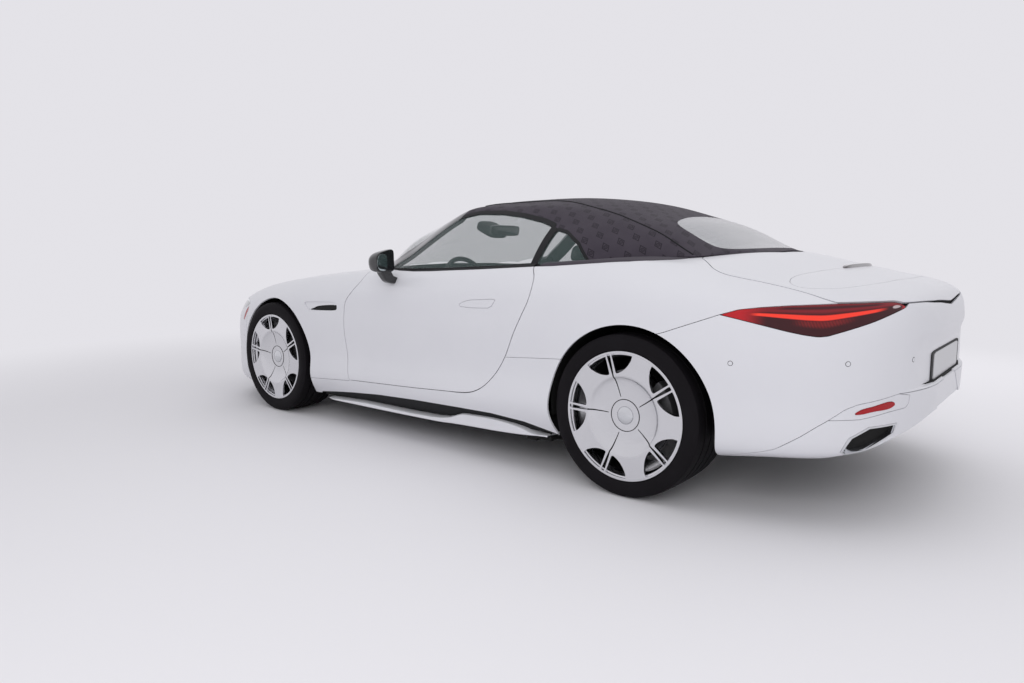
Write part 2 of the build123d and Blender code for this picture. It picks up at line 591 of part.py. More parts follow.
def rim(width):
    out = width / 2 - rim_inset
    back = -out
    hub_face = out - rim_dish
    hub_back = hub_face - hub_length
    profile = [(back, rim_flange_radius), (back + rim_flange, rim_flange_radius),
               (back + rim_flange + rim_ramp, rim_seat_radius), (out - rim_flange - rim_ramp, rim_seat_radius),
               (out - rim_flange, rim_flange_radius), (out, rim_flange_radius), (out, rim_lip_radius),
               (hub_face + 4, face_knee_radius), (hub_face, cap_radius), (out - cap_stand - 2, cap_radius - 2),
               (out - cap_stand, cap_radius - 8), (out - cap_stand, 0), (out - cap_stand - 10, 0),
               (out - cap_stand - 10, stub_radius + running_gap), (hub_back, stub_radius + running_gap),
               (hub_back, hub_radius), (hub_face - rim_face_wall, hub_radius),
               (hub_face - rim_face_wall + 4, face_knee_radius),
               (out - rim_face_wall - 6, rim_seat_radius - rim_barrel_wall),
               (back, rim_seat_radius - rim_barrel_wall)]
    solid = revolve(make_face(Polyline([(x, r, 0) for x, r in profile], close=True)), axis=Axis.X)
    ring = rod_x(out - 65, out + 5, 0, 0, window_outer) - rod_x(out - 70, out + 10, 0, 0, window_inner)
    rays = [ray(430, -window_half_angle), ray(430, window_half_angle)]
    wedge = make_face(Polyline([(0, 0, 0), *rays], close=True))
    wedge = shift(extrude(wedge, amount=70, dir=(1, 0, 0)), out - 65)
    wedge = (wedge - block(out - 70, out + 10, -spoke_width / 2, spoke_width / 2, 0, 500)) & ring
    for k in range(spoke_count):
        solid = solid - Rot(360.0 * k / spoke_count, 0, 0) * wedge
    return solid


def tyre(width, radius):
    half = width / 2
    bead = half - rim_inset - rim_flange - rim_ramp - 0.5
    seat = rim_seat_radius + seat_gap
    side = (half, (radius + rim_flange_radius) / 2 - 4)
    outer = [(bead, seat), (bead, rim_flange_radius + 2), (half - tyre_shoulder, radius - tyre_wall)]
    inner = [(bead - 14, seat), (bead - 10, rim_flange_radius + tyre_wall), (half - 34, radius - 2 * tyre_wall)]

    def at(place, sign):
        return (sign * place[0], place[1], 0)

    edges = [ThreePointArc(at(outer[2], -1), (0, radius, 0), at(outer[2], 1)),
             Line(at(inner[2], -1), at(inner[2], 1))]
    for sign in (-1, 1):
        edges += [
            Line(at(outer[0], sign), at(outer[1], sign)),
            ThreePointArc(at(outer[1], sign), at(side, sign), at(outer[2], sign)),
            Line(at(outer[0], sign), at(inner[0], sign)),
            Line(at(inner[0], sign), at(inner[1], sign)),
            Line(at(inner[1], sign), at(inner[2], sign)),
        ]
    return revolve(make_face(edges), axis=Axis.X)


def disc_face(width):
    return width / 2 - rim_inset - rim_dish - hub_length


def disc(width):
    face_x = disc_face(width)
    ring = rod_x(face_x - disc_width, face_x, 0, 0, disc_radius)
    return ring - rod_x(face_x - disc_width - 5, face_x + 5, 0, 0, disc_hole_radius)


def caliper(width):
    x0 = disc_face(width) - disc_width - caliper_gap
    x1 = disc_face(width) + caliper_gap
    roof_radius = disc_radius + caliper_gap
    outer_radius = disc_radius + 20
    profile = [(x0 - caliper_wall, caliper_inner), (x0, caliper_inner), (x0, roof_radius), (x1, roof_radius),
               (x1, caliper_inner), (x1 + caliper_wall, caliper_inner), (x1 + caliper_wall, outer_radius),
               (x0 - caliper_wall, outer_radius)]
    face = make_face(Polyline([(x, r, 0) for x, r in profile], close=True))
    shell = Rot(-caliper_arc / 2, 0, 0) * revolve(face, axis=Axis.X, revolution_arc=caliper_arc)
    return Rot(caliper_angle, 0, 0) * (shell + block(x0 - 26, x0 - 10, 0, 165, -26, 26))


front_x = tyre_face_x - front_tyre_width / 2
rear_x = tyre_face_x - rear_tyre_width / 2
king_half = 125.0
king_radius = 22.0
stub_stop = 22.0               # the stub ends this far behind the rim's edge
ends = (("front", front_x, front_axle, front_tyre_radius, front_tyre_width),
        ("rear", rear_x, rear_axle, rear_tyre_radius, rear_tyre_width))
upright = rod_z(0, 0, -king_half, king_half, king_radius) + caliper(front_tyre_width)
upright = upright + rod_x(-king_radius - 8, front_tyre_width / 2 - rim_inset - stub_stop, 0, 0, stub_radius)
upright = shift(upright, front_x, front_axle, front_tyre_radius)
keep("knuckle_left", upright)
keep("knuckle_right", other_side(upright))
for end_name, x, y, radius, width in ends:
    for kind, part in (("rim", rim(width)), ("tyre", tyre(width, radius)), ("brake_disc", disc(width))):
        placed = shift(part, x, y, radius)
        keep(kind + "_" + end_name + "_left", placed)
        keep(kind + "_" + end_name + "_right", other_side(placed))

# Front subframe with the arms that hold the knuckles, the engine on it, and the rear axle
hub_z = front_tyre_radius
arm_wall = 20.0
arm_half = 22.0
lower_arm_top = hub_z - king_half - seat_gap
upper_arm_bottom = hub_z + king_half + seat_gap
subframe_bottom = 200.0
subframe_top = 258.0
sub = block(0, 420, fy(-70), fy(70), subframe_bottom, subframe_top)
sub = sub + block(0, 300, fy(70), fy(200), subframe_bottom, subframe_top)
sub = sub + block(rail_outer + seat_gap, 450, fy(-55), fy(55), subframe_bottom, 550)
sub = sub + block(400, front_x + 6, fy(-arm_half), fy(arm_half), lower_arm_top - arm_wall, lower_arm_top)
sub = sub + block(430, front_x + 6, fy(-arm_half), fy(arm_half), upper_arm_bottom, upper_arm_bottom + arm_wall)
keep("front_subframe", both(sub))
keep("engine_block", block(-250, 250, fy(85), fy(560), subframe_top, 700))

rear_stub_end = rear_tyre_width / 2 - rim_inset - stub_stop
beam_bottom = rear_tyre_radius - 60
axle_half = rod_x(640 - rear_x, rear_stub_end, 0, 0, stub_radius) + caliper(rear_tyre_width)
axle_half = shift(axle_half, rear_x, rear_axle, rear_tyre_radius)
axle_half = axle_half + block(0, 500, ry(-70), ry(70), beam_bottom, rear_tyre_radius + 22)
axle_half = axle_half + block(480, 700, ry(-30), ry(30), beam_bottom, rear_tyre_radius - 20)
axle_half = axle_half + block(640, 700, ry(-30), ry(30), beam_bottom, rear_tyre_radius)
keep("rear_axle", both(axle_half))

# Cabin
wheel_x = 370.0
wheel_y = fy(1258.5)
wheel_z = 850.0
wheel_rake = 24.0
wheel_radius = 178.0
wheel_rim_radius = 14.0
wheel_hub_radius = 62.0
column_radius = 18.0
column_cover_radius = 40.0
dash_half = 690.0
dash_rear = fy(1010)
dash_bottom = 650.0
dash_top = 845.0
console_half = 110.0
console_top = 520.0
console_rear = ry(-560)


def raked(shape):
    return Pos(wheel_x, wheel_y, wheel_z) * (Rot(wheel_rake, 0, 0) * shape)


dash = block(-dash_half, dash_half, firewall_y, dash_rear, dash_bottom, dash_top)
dash = dash + block(-console_half, console_half, dash_rear, console_rear, tunnel_top, console_top)
dash = dash + block(-console_half, console_half, firewall_y, dash_rear, tunnel_top, dash_bottom + 10)
dash = dash + raked(rod_y(0, -330, -30, 0, column_cover_radius)) + raked(rod_y(0, -200, 12, 0, column_radius))
steering = Rot(90, 0, 0) * Torus(wheel_radius, wheel_rim_radius) + rod_y(0, -24, 22, 0, wheel_hub_radius)
steering = steering + block(-wheel_radius, wheel_radius, -12, 6, -16, 16)
steering = steering + block(-16, 16, -12, 6, -wheel_radius, 0)
steering = steering - rod_y(0, -30, 14, 0, column_radius + running_gap)
keep("dashboard", dash)
keep("steering_wheel", raked(steering))

seat_inner = 145.0
seat_outer = 600.0
headrest_inner = 265.0
headrest_outer = 480.0
seat_outline = from_rear((-1240, floor_top), (-760, floor_top), (-720, 430), (-560, 960), (-640, 975),
                         (-820, 470), (-1250, 440))
neck_outline = from_rear((-650, 940), (-560, 940), (-560, 1000), (-640, 1000))
headrest_outline = from_rear((-640, 1000), (-560, 990), (-540, 1090), (-600, 1100))
shelf_outline = from_rear((-500, floor_top), (-201.5, floor_top), (-201.5, 840), (-260, 840), (-340, 440),
                          (-500, 420))
seat = side_prism(seat_outline, seat_inner, seat_outer) + side_prism(neck_outline, 320, 425)
seat = seat + side_prism(headrest_outline, headrest_inner, headrest_outer)
shelf = side_prism(shelf_outline, tunnel_half + 10, 540)
keep("seats", [both(seat), both(shelf)])

# Mirrors
mirror_pod = block(-118, 118, fy(1190), fy(1216), 1172, 1232) + block(-14, 14, fy(1170), fy(1198), 1200, 1330)
keep("interior_mirror", biggest(mirror_pod & shift(both(roof), 0, 0, -glass_wall - seat_gap)))
pod_outline = [(950, 955), (1040, 960), (1062, 985), (1060, 1030), (1030, 1056), (962, 1066), (944, 1020)]
foot_outline = [(880, 893), (915, 888), (975, 922), (1000, 958), (960, 958), (925, 932), (880, 912)]
pod_front = fy(1148)
pod_rear = fy(1230)
pod = front_prism(pod_outline, pod_front, pod_rear) + front_prism(foot_outline, pod_front + 20, pod_rear - 12)
pod = biggest(pod - shift(body, seat_gap, 0, seat_gap))
keep("mirror_left", pod)
keep("mirror_right", other_side(pod))

os.makedirs("parts", exist_ok=True)
for name, found in nodes.items():
    shape = found[0] if len(found) == 1 else Compound(found)
    export_step(shape, "parts/" + name + ".step")
    box = shape.bounding_box()
    print(name, len(found), round(shape.volume), [round(v) for v in (*box.min, *box.max)])
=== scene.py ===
import math
import bpy
import mathutils
import numpy as np
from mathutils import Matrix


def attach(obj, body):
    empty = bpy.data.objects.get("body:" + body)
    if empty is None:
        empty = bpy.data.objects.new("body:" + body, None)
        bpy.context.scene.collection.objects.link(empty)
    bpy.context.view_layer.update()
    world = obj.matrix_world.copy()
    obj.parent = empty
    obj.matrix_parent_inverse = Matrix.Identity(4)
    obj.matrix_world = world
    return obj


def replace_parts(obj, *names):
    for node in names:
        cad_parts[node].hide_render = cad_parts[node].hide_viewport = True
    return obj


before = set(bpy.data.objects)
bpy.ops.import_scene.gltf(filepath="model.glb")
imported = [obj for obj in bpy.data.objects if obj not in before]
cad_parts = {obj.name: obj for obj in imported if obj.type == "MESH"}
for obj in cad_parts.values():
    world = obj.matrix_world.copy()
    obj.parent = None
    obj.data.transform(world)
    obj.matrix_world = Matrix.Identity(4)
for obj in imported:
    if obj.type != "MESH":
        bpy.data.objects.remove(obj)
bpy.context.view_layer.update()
mm = 0.001
print("frame loaded:", len(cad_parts), "nodes")

# The layout of the car in millimetres: front towards -Y, left side towards +X, ground at z = 0.
layout = {
    "frontAxle": -1408.5, "rearAxle": 1291.5, "wheelX": {"front": 812.5, "rear": 797.5},
    "tyreRadius": {"front": 363.0, "rear": 358.0}, "tyreWidth": {"front": 275.0, "rear": 305.0},
    "halfLength": 2348.5, "arch": {"front": (4.0, -20.0, 414.0), "rear": (15.0, -8.0, 404.0)},
}
sides = (("left", 1.0), ("right", -1.0))

# Shader maths.


class Value:
    # A number or a link in one node tree, so that material patterns are written as expressions.
    def __init__(self, mat, socket):
        self.mat = mat
        self.socket = socket

    def op(self, kind, *others, clamp=False):
        node = self.mat.tree.nodes.new("ShaderNodeMath")
        node.operation = kind
        node.use_clamp = clamp
        for slot, arg in zip(node.inputs, (self, *others)):
            self.mat.feed(slot, arg)
        return Value(self.mat, node.outputs[0])

    def __add__(self, other): return self.op("ADD", other)
    def __radd__(self, other): return self.op("ADD", other)
    def __sub__(self, other): return self.op("SUBTRACT", other)
    def __mul__(self, other): return self.op("MULTIPLY", other)
    def __rmul__(self, other): return self.op("MULTIPLY", other)
    def __truediv__(self, other): return self.op("DIVIDE", other)
    def sine(self): return self.op("SINE")
    def size(self): return self.op("ABSOLUTE")
    def wrap(self, span): return self.op("WRAP", span, 0.0)
    def most(self, other): return self.op("MAXIMUM", other)
    def power(self, other): return self.op("POWER", other)
    def clipped(self): return self.op("ADD", 0.0, clamp=True)

    def ramp(self, low, high):
        # 0 below low and 1 above high, with an eased step between
        node = self.mat.tree.nodes.new("ShaderNodeMapRange")
        node.interpolation_type = "SMOOTHSTEP"
        for name, arg in (("Value", self), ("From Min", low), ("From Max", high)):
            self.mat.feed(node.inputs[name], arg)
        return Value(self.mat, node.outputs[0])


class Finish:
    # One material, its node tree and its Principled shader.
    def __init__(self, name, **sockets):
        self.made = bpy.data.materials.new(name)
        self.made.use_nodes = True
        self.tree = self.made.node_tree
        self.shader = self.tree.nodes["Principled BSDF"]
        self.set(**sockets)

    def set(self, **sockets):
        for name, value in sockets.items():
            words = name[0].upper() + "".join(" " + c if c.isupper() else c for c in name[1:])
            self.feed(self.shader.inputs[words.replace("I O R", "IOR")], value)

    def feed(self, slot, value):
        if isinstance(value, Value):
            self.tree.links.new(value.socket, slot)
        elif hasattr(slot.default_value, "__len__") and len(slot.default_value) == 4:
            slot.default_value = (*value, 1.0)
        else:
            slot.default_value = value

    def node(self, kind, out=0, **values):
        # any other node: its type, then the values or links of its sockets
        made = self.tree.nodes.new(kind)
        for name, value in values.items():
            self.feed(made.inputs[name], value)
        return Value(self, made.outputs[out])

    def place(self):
        return self.node("ShaderNodeTexCoord", out="Object")

    def parts(self, place):
        # the three values of a place: Object coordinates in metres, or a UV map's u and v
        made = self.tree.nodes.new("ShaderNodeSeparateXYZ")
        self.feed(made.inputs[0], place)
        return [Value(self, socket) for socket in made.outputs]

    def where(self):
        return self.parts(self.place())

    def uv(self):
        return self.parts(self.node("ShaderNodeUVMap"))[:2]

    def noise(self, scale, detail=2.0):
        return self.node("ShaderNodeTexNoise", Vector=self.place(), Scale=scale, Detail=detail, Roughness=0.5)

    def mix(self, mask, low, high):
        made = self.tree.nodes.new("ShaderNodeMix")
        made.data_type = "RGBA"
        self.feed(made.inputs[0], mask)
        self.feed(made.inputs[6], low)
        self.feed(made.inputs[7], high)
        return Value(self, made.outputs[2])

    def bump(self, height, strength=0.3, distance=0.001):
        made = self.node("ShaderNodeBump", Height=height, Strength=strength, Distance=distance)
        self.tree.links.new(made.socket, self.shader.inputs["Normal"])


finishes = {}

# Surfaces from arrays.


def cubicThrough(t, v, tq):
    # smooth curve through the knots v at t: cubic pieces whose slope at a knot is the length-weighted
    # mean of the chords beside it
    d = np.diff(v, axis=0) / np.diff(t)[:, None]
    h = np.diff(t)
    m = np.zeros_like(v)
    m[1:-1] = (h[1:, None] * d[:-1] + h[:-1, None] * d[1:]) / (h[1:] + h[:-1])[:, None]
    m[0] = 1.5 * d[0] - 0.5 * m[1]
    m[-1] = 1.5 * d[-1] - 0.5 * m[-2]
    i = np.clip(np.searchsorted(t, tq, side="right") - 1, 0, len(t) - 2)
    s = ((tq - t[i]) / h[i])[:, None]
    w = h[i][:, None]
    return ((2 * s**3 - 3 * s**2 + 1) * v[i] + (s**3 - 2 * s**2 + s) * w * m[i]
            + (3 * s**2 - 2 * s**3) * v[i + 1] + (s**3 - s**2) * w * m[i + 1])


def smoothLine(points, count=12, closed=False):
    # the points joined by a smooth curve, evenly walked
    p = np.asarray(points, float)
    if closed:
        p = np.vstack([p[-2:], p, p[:3]])
    t = np.concatenate([[0], np.cumsum(np.linalg.norm(np.diff(p, axis=0), axis=1) ** 0.7)])
    low, high = (t[2], t[-3]) if closed else (t[0], t[-1])
    return cubicThrough(t, p, np.linspace(low, high, count * len(points)))


def unit(v):
    return v / np.maximum(np.linalg.norm(v, axis=-1, keepdims=True), 1e-12)


def crosses(points, tris):
    # the cross product of two sides of every triangle
    a, b, c = points[tris[:, 0]], points[tris[:, 1]], points[tris[:, 2]]
    return np.cross(b - a, c - a)


def roundTurn(count):
    # evenly spaced angles once round
    return np.linspace(0, 2 * np.pi, count, endpoint=False)


def gridTris(rows, cols, closeU=False, closeV=False):
    i = np.arange(rows if closeU else rows - 1)
    j = np.arange(cols if closeV else cols - 1)
    i, j = np.meshgrid(i, j, indexing="ij")
    a = (i * cols + j).ravel()
    b = (((i + 1) % rows) * cols + j).ravel()
    c = (((i + 1) % rows) * cols + (j + 1) % cols).ravel()
    d = (i * cols + (j + 1) % cols).ravel()
    return np.concatenate([np.stack([a, b, c], 1), np.stack([a, c, d], 1)])


def ringSection(radius, count=8):
    a = roundTurn(count)
    return np.stack([np.cos(a), np.sin(a)], 1) * radius


class Sheet:
    # An open surface: columns x y z, normal, and any further values that vary over it; triangles.
    def __init__(self, cols, tris):
        self.cols = cols
        self.tris = tris

    @property
    def p(self): return self.cols[:, :3]

    @property
    def n(self): return self.cols[:, 3:6]

    def tidy(self):
        used, back = np.unique(self.tris, return_inverse=True)
        return Sheet(self.cols[used], back.reshape(-1, 3))

    def cut(self, value):
        # keeps where value < 0; a triangle across the line is cut where value is 0 along its sides
        value = np.where(np.abs(value) < 1e-9, -1e-9, value)
        inside = value < 0
        t = self.tris
        count = inside[t].sum(1)
        whole = t[count == 3]
        parts = t[(count == 1) | (count == 2)]
        if len(parts) == 0:
            return Sheet(self.cols, whole).tidy()
        one = inside[parts].sum(1) == 1
        odd = np.argmax(inside[parts] == one[:, None], axis=1)
        r = np.arange(len(parts))
        a, b, c = parts[r, odd], parts[r, (odd + 1) % 3], parts[r, (odd + 2) % 3]
        edges = np.sort(np.concatenate([np.stack([a, b], 1), np.stack([a, c], 1)]), axis=1)
        pairs, back = np.unique(edges, axis=0, return_inverse=True)
        back = back.ravel()
        f0, f1 = value[pairs[:, 0]], value[pairs[:, 1]]
        s = (f0 / (f0 - f1))[:, None]
        fresh = self.cols[pairs[:, 0]] * (1 - s) + self.cols[pairs[:, 1]] * s
        base = len(self.cols)
        ab, ac = base + back[:len(r)], base + back[len(r):]
        out = [whole, np.stack([a, ab, ac], 1)[one], np.stack([ab, b, c], 1)[~one], np.stack([ab, c, ac], 1)[~one]]
        made = Sheet(np.vstack([self.cols, fresh]), np.concatenate(out)).tidy()
        made.cols[:, 3:6] = unit(made.n)
        return made

    def moved(self, distance):
        # the same sheet a distance further out along its normals
        cols = self.cols.copy()
        cols[:, :3] += cols[:, 3:6] * distance
        return Sheet(cols, self.tris)


def joined(*sheets):
    cols, tris, base = [], [], 0
    width = min(s.cols.shape[1] for s in sheets)
    for s in sheets:
        cols.append(s.cols[:, :width])
        tris.append(s.tris + base)
        base += len(s.cols)
    return Sheet(np.vstack(cols), np.concatenate(tris))


def merged(sheet):
    # points that share a place made one
    _, first, back = np.unique(np.round(sheet.p, 3), axis=0, return_index=True, return_inverse=True)
    tris = back.ravel()[sheet.tris]
    flat = (tris == np.roll(tris, 1, axis=1)).any(1)
    return Sheet(sheet.cols[first], tris[~flat])


def faceSums(points, tris):
    # the direction of the area-weighted sum of the faces round every point
    f = crosses(points, tris)
    return unit(np.stack([np.bincount(tris.ravel(), np.repeat(f[:, k], 3), len(points)) for k in range(3)], 1))


def sidesOf(tris):
    return np.concatenate([tris[:, [0, 1]], tris[:, [1, 2]], tris[:, [2, 0]]])


def refined(sheet, near, times=2):
    # triangles whose sides lie within the marked points halved, with their neighbours split to match
    for _ in range(times):
        mark, t, n = near(sheet), sheet.tris, len(sheet.tris)
        pairs, back = np.unique(np.sort(sidesOf(t), axis=1), axis=0, return_inverse=True)
        split = mark[pairs].all(1)
        number = np.full(len(pairs), -1)
        number[split] = len(sheet.cols) + np.arange(split.sum())
        fresh = sheet.cols[pairs[split]].mean(1)
        mid = number[back.ravel()].reshape(3, n).T
        count = (mid >= 0).sum(1)
        turn = np.zeros(n, int)
        turn[count == 1] = np.argmax(mid[count == 1] >= 0, axis=1)
        turn[count == 2] = (np.argmax(mid[count == 2] < 0, axis=1) + 1) % 3
        order = (turn[:, None] + np.arange(3)) % 3
        v, m = np.take_along_axis(t, order, 1), np.take_along_axis(mid, order, 1)
        parts = [t[count == 0]]
        for amount, shapes in ((1, ((0, 3, 2), (3, 1, 2))), (2, ((0, 3, 2), (3, 1, 4), (3, 4, 2))),
                               (3, ((0, 3, 5), (3, 1, 4), (5, 4, 2), (3, 4, 5)))):
            six = np.hstack([v, m])[count == amount]
            parts += [six[:, list(shape)] for shape in shapes]
        sheet = Sheet(np.vstack([sheet.cols, fresh]), np.concatenate(parts))
        sheet.cols[:, 3:6] = unit(sheet.n)
    return sheet


def borders(tris):
    # sides used by one triangle only, in the triangle's direction
    e = sidesOf(tris)
    _, first, count = np.unique(np.sort(e, axis=1), axis=0, return_index=True, return_counts=True)
    return e[first[count == 1]]


def linked(name, data, axes=None, place=None):
    # an object in the scene, with its three axes and its place where they are given
    made = bpy.data.objects.new(name, data)
    if axes:
        matrix = np.eye(4)
        matrix[:3, :3], matrix[:3, 3] = np.stack(axes, 1), place
        made.matrix_world = mathutils.Matrix(matrix.tolist())
    bpy.context.scene.collection.objects.link(made)
    return made


def putMesh(name, points, tris, corners, body, finish, uvs=None):
    # points in mm, triangles, a normal for every triangle corner, and the name of a finish
    mesh = bpy.data.meshes.new(name)
    mesh.vertices.add(len(points))
    mesh.vertices.foreach_set("co", (points * mm).astype(np.float32).ravel())
    mesh.loops.add(len(tris) * 3)
    mesh.loops.foreach_set("vertex_index", tris.astype(np.int32).ravel())
    mesh.polygons.add(len(tris))
    mesh.polygons.foreach_set("loop_start", np.arange(0, len(tris) * 3, 3, dtype=np.int32))
    mesh.polygons.foreach_set("loop_total", np.full(len(tris), 3, dtype=np.int32))
    mesh.update(calc_edges=True)
    mesh.shade_smooth()
    if uvs is not None:
        layer = mesh.uv_layers.new(name="UVMap")
        layer.data.foreach_set("uv", uvs[tris.ravel()].astype(np.float32).ravel())
    mesh.normals_split_custom_set(corners.reshape(-1, 3).tolist())
    mesh.materials.append(finishes[finish].made)
    piece = linked(name, mesh)
    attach(piece, body)
    return piece


def shell(name, sheet, wall, body, finish, uvCols=None):
    # a sheet given a wall inwards: outer face, inner face and a strip round every open side
    n = len(sheet.cols)
    a, b = borders(sheet.tris).T
    strip = np.concatenate([np.stack([a, a + n, b + n], 1), np.stack([a, b + n, b], 1)])
    pts = np.vstack([sheet.p, sheet.p - sheet.n * wall])
    tris = np.concatenate([sheet.tris, sheet.tris[:, ::-1] + n, strip])
    flat = unit(crosses(pts, strip))
    normals = np.vstack([sheet.n, -sheet.n])
    corners = np.concatenate([normals[tris[:2 * len(sheet.tris)]], np.repeat(flat[:, None], 3, axis=1)])
    uvs = np.tile(sheet.cols[:, uvCols], (2, 1)) if uvCols else None
    return putMesh(name, pts, tris, corners, body, finish, uvs)


def lineField(points, line):
    # signed distance from points (n, 2) to a closed outline: negative inside
    a = np.asarray(line, float)
    b = np.roll(a, -1, axis=0)
    best = np.full(len(points), 1e18)
    crossing = np.zeros(len(points), int)
    for (ax, ay), (bx, by) in zip(a, b):
        dx, dy = bx - ax, by - ay
        px, py = points[:, 0] - ax, points[:, 1] - ay
        s = np.clip((px * dx + py * dy) / max(dx * dx + dy * dy, 1e-12), 0, 1)
        best = np.minimum(best, (px - s * dx) ** 2 + (py - s * dy) ** 2)
        if ay != by:
            hit = ((ay > points[:, 1]) != (by > points[:, 1])) & (px < dx * (points[:, 1] - ay) / dy)
            crossing += hit
    return np.sqrt(best) * np.where(crossing % 2 == 1, -1.0, 1.0)


def turned(profile, count):
    # a closed profile of (along the axle, radius) points carried round the axle
    p = np.asarray(profile, float)
    turn = roundTurn(count)[:, None]
    a, r = p.T
    grid = np.stack([np.broadcast_to(a, (count, len(p))), r * np.sin(turn), r * np.cos(turn)], axis=-1)
    tris = gridTris(count, len(p), closeU=True, closeV=True)
    area = np.sum(a * np.roll(r, -1) - np.roll(a, -1) * r)
    return grid.reshape(-1, 3), tris if area < 0 else tris[:, ::-1]


def creased(points, tris, angle=35.0):
    # normals for each corner: the mean of the faces round the point that turn by less than the angle
    f = crosses(points, tris)
    way = unit(f)
    at = tris.ravel()
    order = np.argsort(at, kind="stable")
    start = np.searchsorted(at[order], np.arange(len(points) + 1))
    face = order // 3
    width = int(np.max(np.diff(start)))
    slots = start[:-1, None] + np.arange(width)
    valid = slots < start[1:, None]
    near = np.where(valid, face[np.minimum(slots, len(face) - 1)], -1)
    around = near[at]
    own = way[np.arange(len(at)) // 3]
    other = way[around]
    close = (np.einsum("ijk,ik->ij", other, own) > math.cos(math.radians(angle))) & (around >= 0)
    return unit((f[around] * close[:, :, None]).sum(1))


def solid(name, points, tris, body, finish, angle=35.0):
    return putMesh(name, points, tris, creased(points, tris, angle), body, finish)


def loft(name, grid, body, finish, closed=False, angle=40.0):
    # closed sections (rows of a grid) joined into one solid, with flat ends unless the rows close on themselves
    rows, cols = grid.shape[:2]
    pts = grid.reshape(-1, 3)
    tris = gridTris(rows, cols, closeU=closed, closeV=True)
    if not closed:
        fan = np.array([[0, i, i + 1] for i in range(1, cols - 1)])
        tris = np.concatenate([tris, fan, fan[:, ::-1] + (rows - 1) * cols])
    if np.einsum("ij,ij->i", pts[tris[:, 0]] - pts.mean(0), crosses(pts, tris)).sum() < 0:
        tris = tris[:, ::-1]
    return solid(name, pts, tris, body, finish, angle)


# Camera, light and floor.

view = {
    # metres, radians and millimetres
    "place": (3.5403, 2.8748, 1.0785), "yaw": -2.27308825, "pitch": -0.130198153, "roll": -0.00534362, "lens": 25.2140,
}


def makeCamera():
    # looks along the yaw and pitch, with the sideways and upward directions turned by the roll
    yaw, pitch, roll = view["yaw"], view["pitch"], view["roll"]
    ahead = np.array([math.sin(yaw) * math.cos(pitch), math.cos(yaw) * math.cos(pitch), math.sin(pitch)])
    right = unit(np.cross(ahead, [0, 0, 1]))
    up = np.cross(right, ahead)
    c, s = math.cos(roll), math.sin(roll)
    right, up = c * right + s * up, c * up - s * right
    lens = bpy.data.cameras.new("camera")
    lens.sensor_width = 36.0
    lens.lens = view["lens"]
    lens.clip_end = 200.0
    bpy.context.scene.camera = linked("camera", lens, (right, up, -ahead), view["place"])


lighting = {
    "world": (0.86, 0.86, 0.88), "worldPower": 0.80, "floor": (0.80, 0.79, 0.82), "backdrop": (0.775, 0.765, 0.805),
    "fade": (2.9, 6.5), "far": 30.0, "below": 0.0005,
    # soft lamps: place, target, width and height, power
    "panels": [((0.0, 0.6, 4.6), (0.0, 0.6, 0.0), (7.5, 4.2), 42.0),
               ((5.5, 3.5, 3.2), (0.3, 0.8, 0.6), (3.6, 2.4), 92.0),
               ((-5.5, 2.0, 3.0), (0.0, 0.5, 0.6), (4.0, 2.4), 60.0)],
}


def seenDirectly(tree):
    # 1 for rays from the camera, off a mirror-like surface or through glass
    path = tree.nodes.new("ShaderNodeLightPath")
    total = path.outputs["Is Camera Ray"]
    for name in ("Is Glossy Ray", "Is Transmission Ray"):
        most = tree.nodes.new("ShaderNodeMath")
        most.operation = "MAXIMUM"
        tree.links.new(total, most.inputs[0])
        tree.links.new(path.outputs[name], most.inputs[1])
        total = most.outputs[0]
    return total


def mixShaders(tree, mask, low, high, output):
    made = tree.nodes.new("ShaderNodeMixShader")
    for slot, socket in zip(made.inputs, (mask, low.outputs[0], high.outputs[0])):
        tree.links.new(socket, slot)
    tree.links.new(made.outputs[0], tree.nodes[output].inputs["Surface"])


def makeStage():
    bpy.context.scene.view_settings.view_transform = "Standard"
    world = bpy.data.worlds.new("room")
    bpy.context.scene.world = world
    world.use_nodes = True
    tree = world.node_tree
    ground = tree.nodes["Background"]
    ground.inputs["Color"].default_value = (*lighting["world"], 1)
    ground.inputs["Strength"].default_value = lighting["worldPower"]
    pale = tree.nodes.new("ShaderNodeBackground")
    pale.inputs["Color"].default_value = (*lighting["backdrop"], 1)
    pale.inputs["Strength"].default_value = 1.0
    mixShaders(tree, seenDirectly(tree), ground, pale, "World Output")
    # the floor is a wide round plate that takes the car's shadow and fades into the backdrop
    count = 96
    ring = np.column_stack([ringSection(lighting["far"], count), np.full(count, -lighting["below"])])
    mesh = bpy.data.meshes.new("floor")
    mesh.from_pydata(ring.tolist(), [], [list(range(count))])
    floor = linked("floor", mesh)
    paintFloor = Finish("floorFinish", baseColor=lighting["floor"])
    paintFloor.set(roughness=paintFloor.noise(9.0, 3.0) * 0.1 + 0.7)
    x, y, _ = paintFloor.where()
    far = (x * x + y * y).power(0.5).ramp(*lighting["fade"])
    glow = paintFloor.tree.nodes.new("ShaderNodeEmission")
    glow.inputs["Color"].default_value = (*lighting["backdrop"], 1)
    mask = far * Value(paintFloor, seenDirectly(paintFloor.tree))
    mixShaders(paintFloor.tree, mask.socket, paintFloor.shader, glow, "Material Output")
    mesh.materials.append(paintFloor.made)
    for number, (place, target, size, power) in enumerate(lighting["panels"]):
        lamp = bpy.data.lights.new(f"panel{number}", "AREA")
        lamp.shape = "RECTANGLE"
        lamp.size, lamp.size_y = size
        lamp.energy = power
        back = unit(np.subtract(place, target))
        side = unit(np.cross([0, 1, 0] if abs(back[2]) > 0.98 else [0, 0, 1], back))
        made = linked(f"panel{number}", lamp, (side, np.cross(back, side), back), place)
        made.visible_glossy = False


makeCamera()
makeStage()
print("camera, light and floor made")

# Finishes.


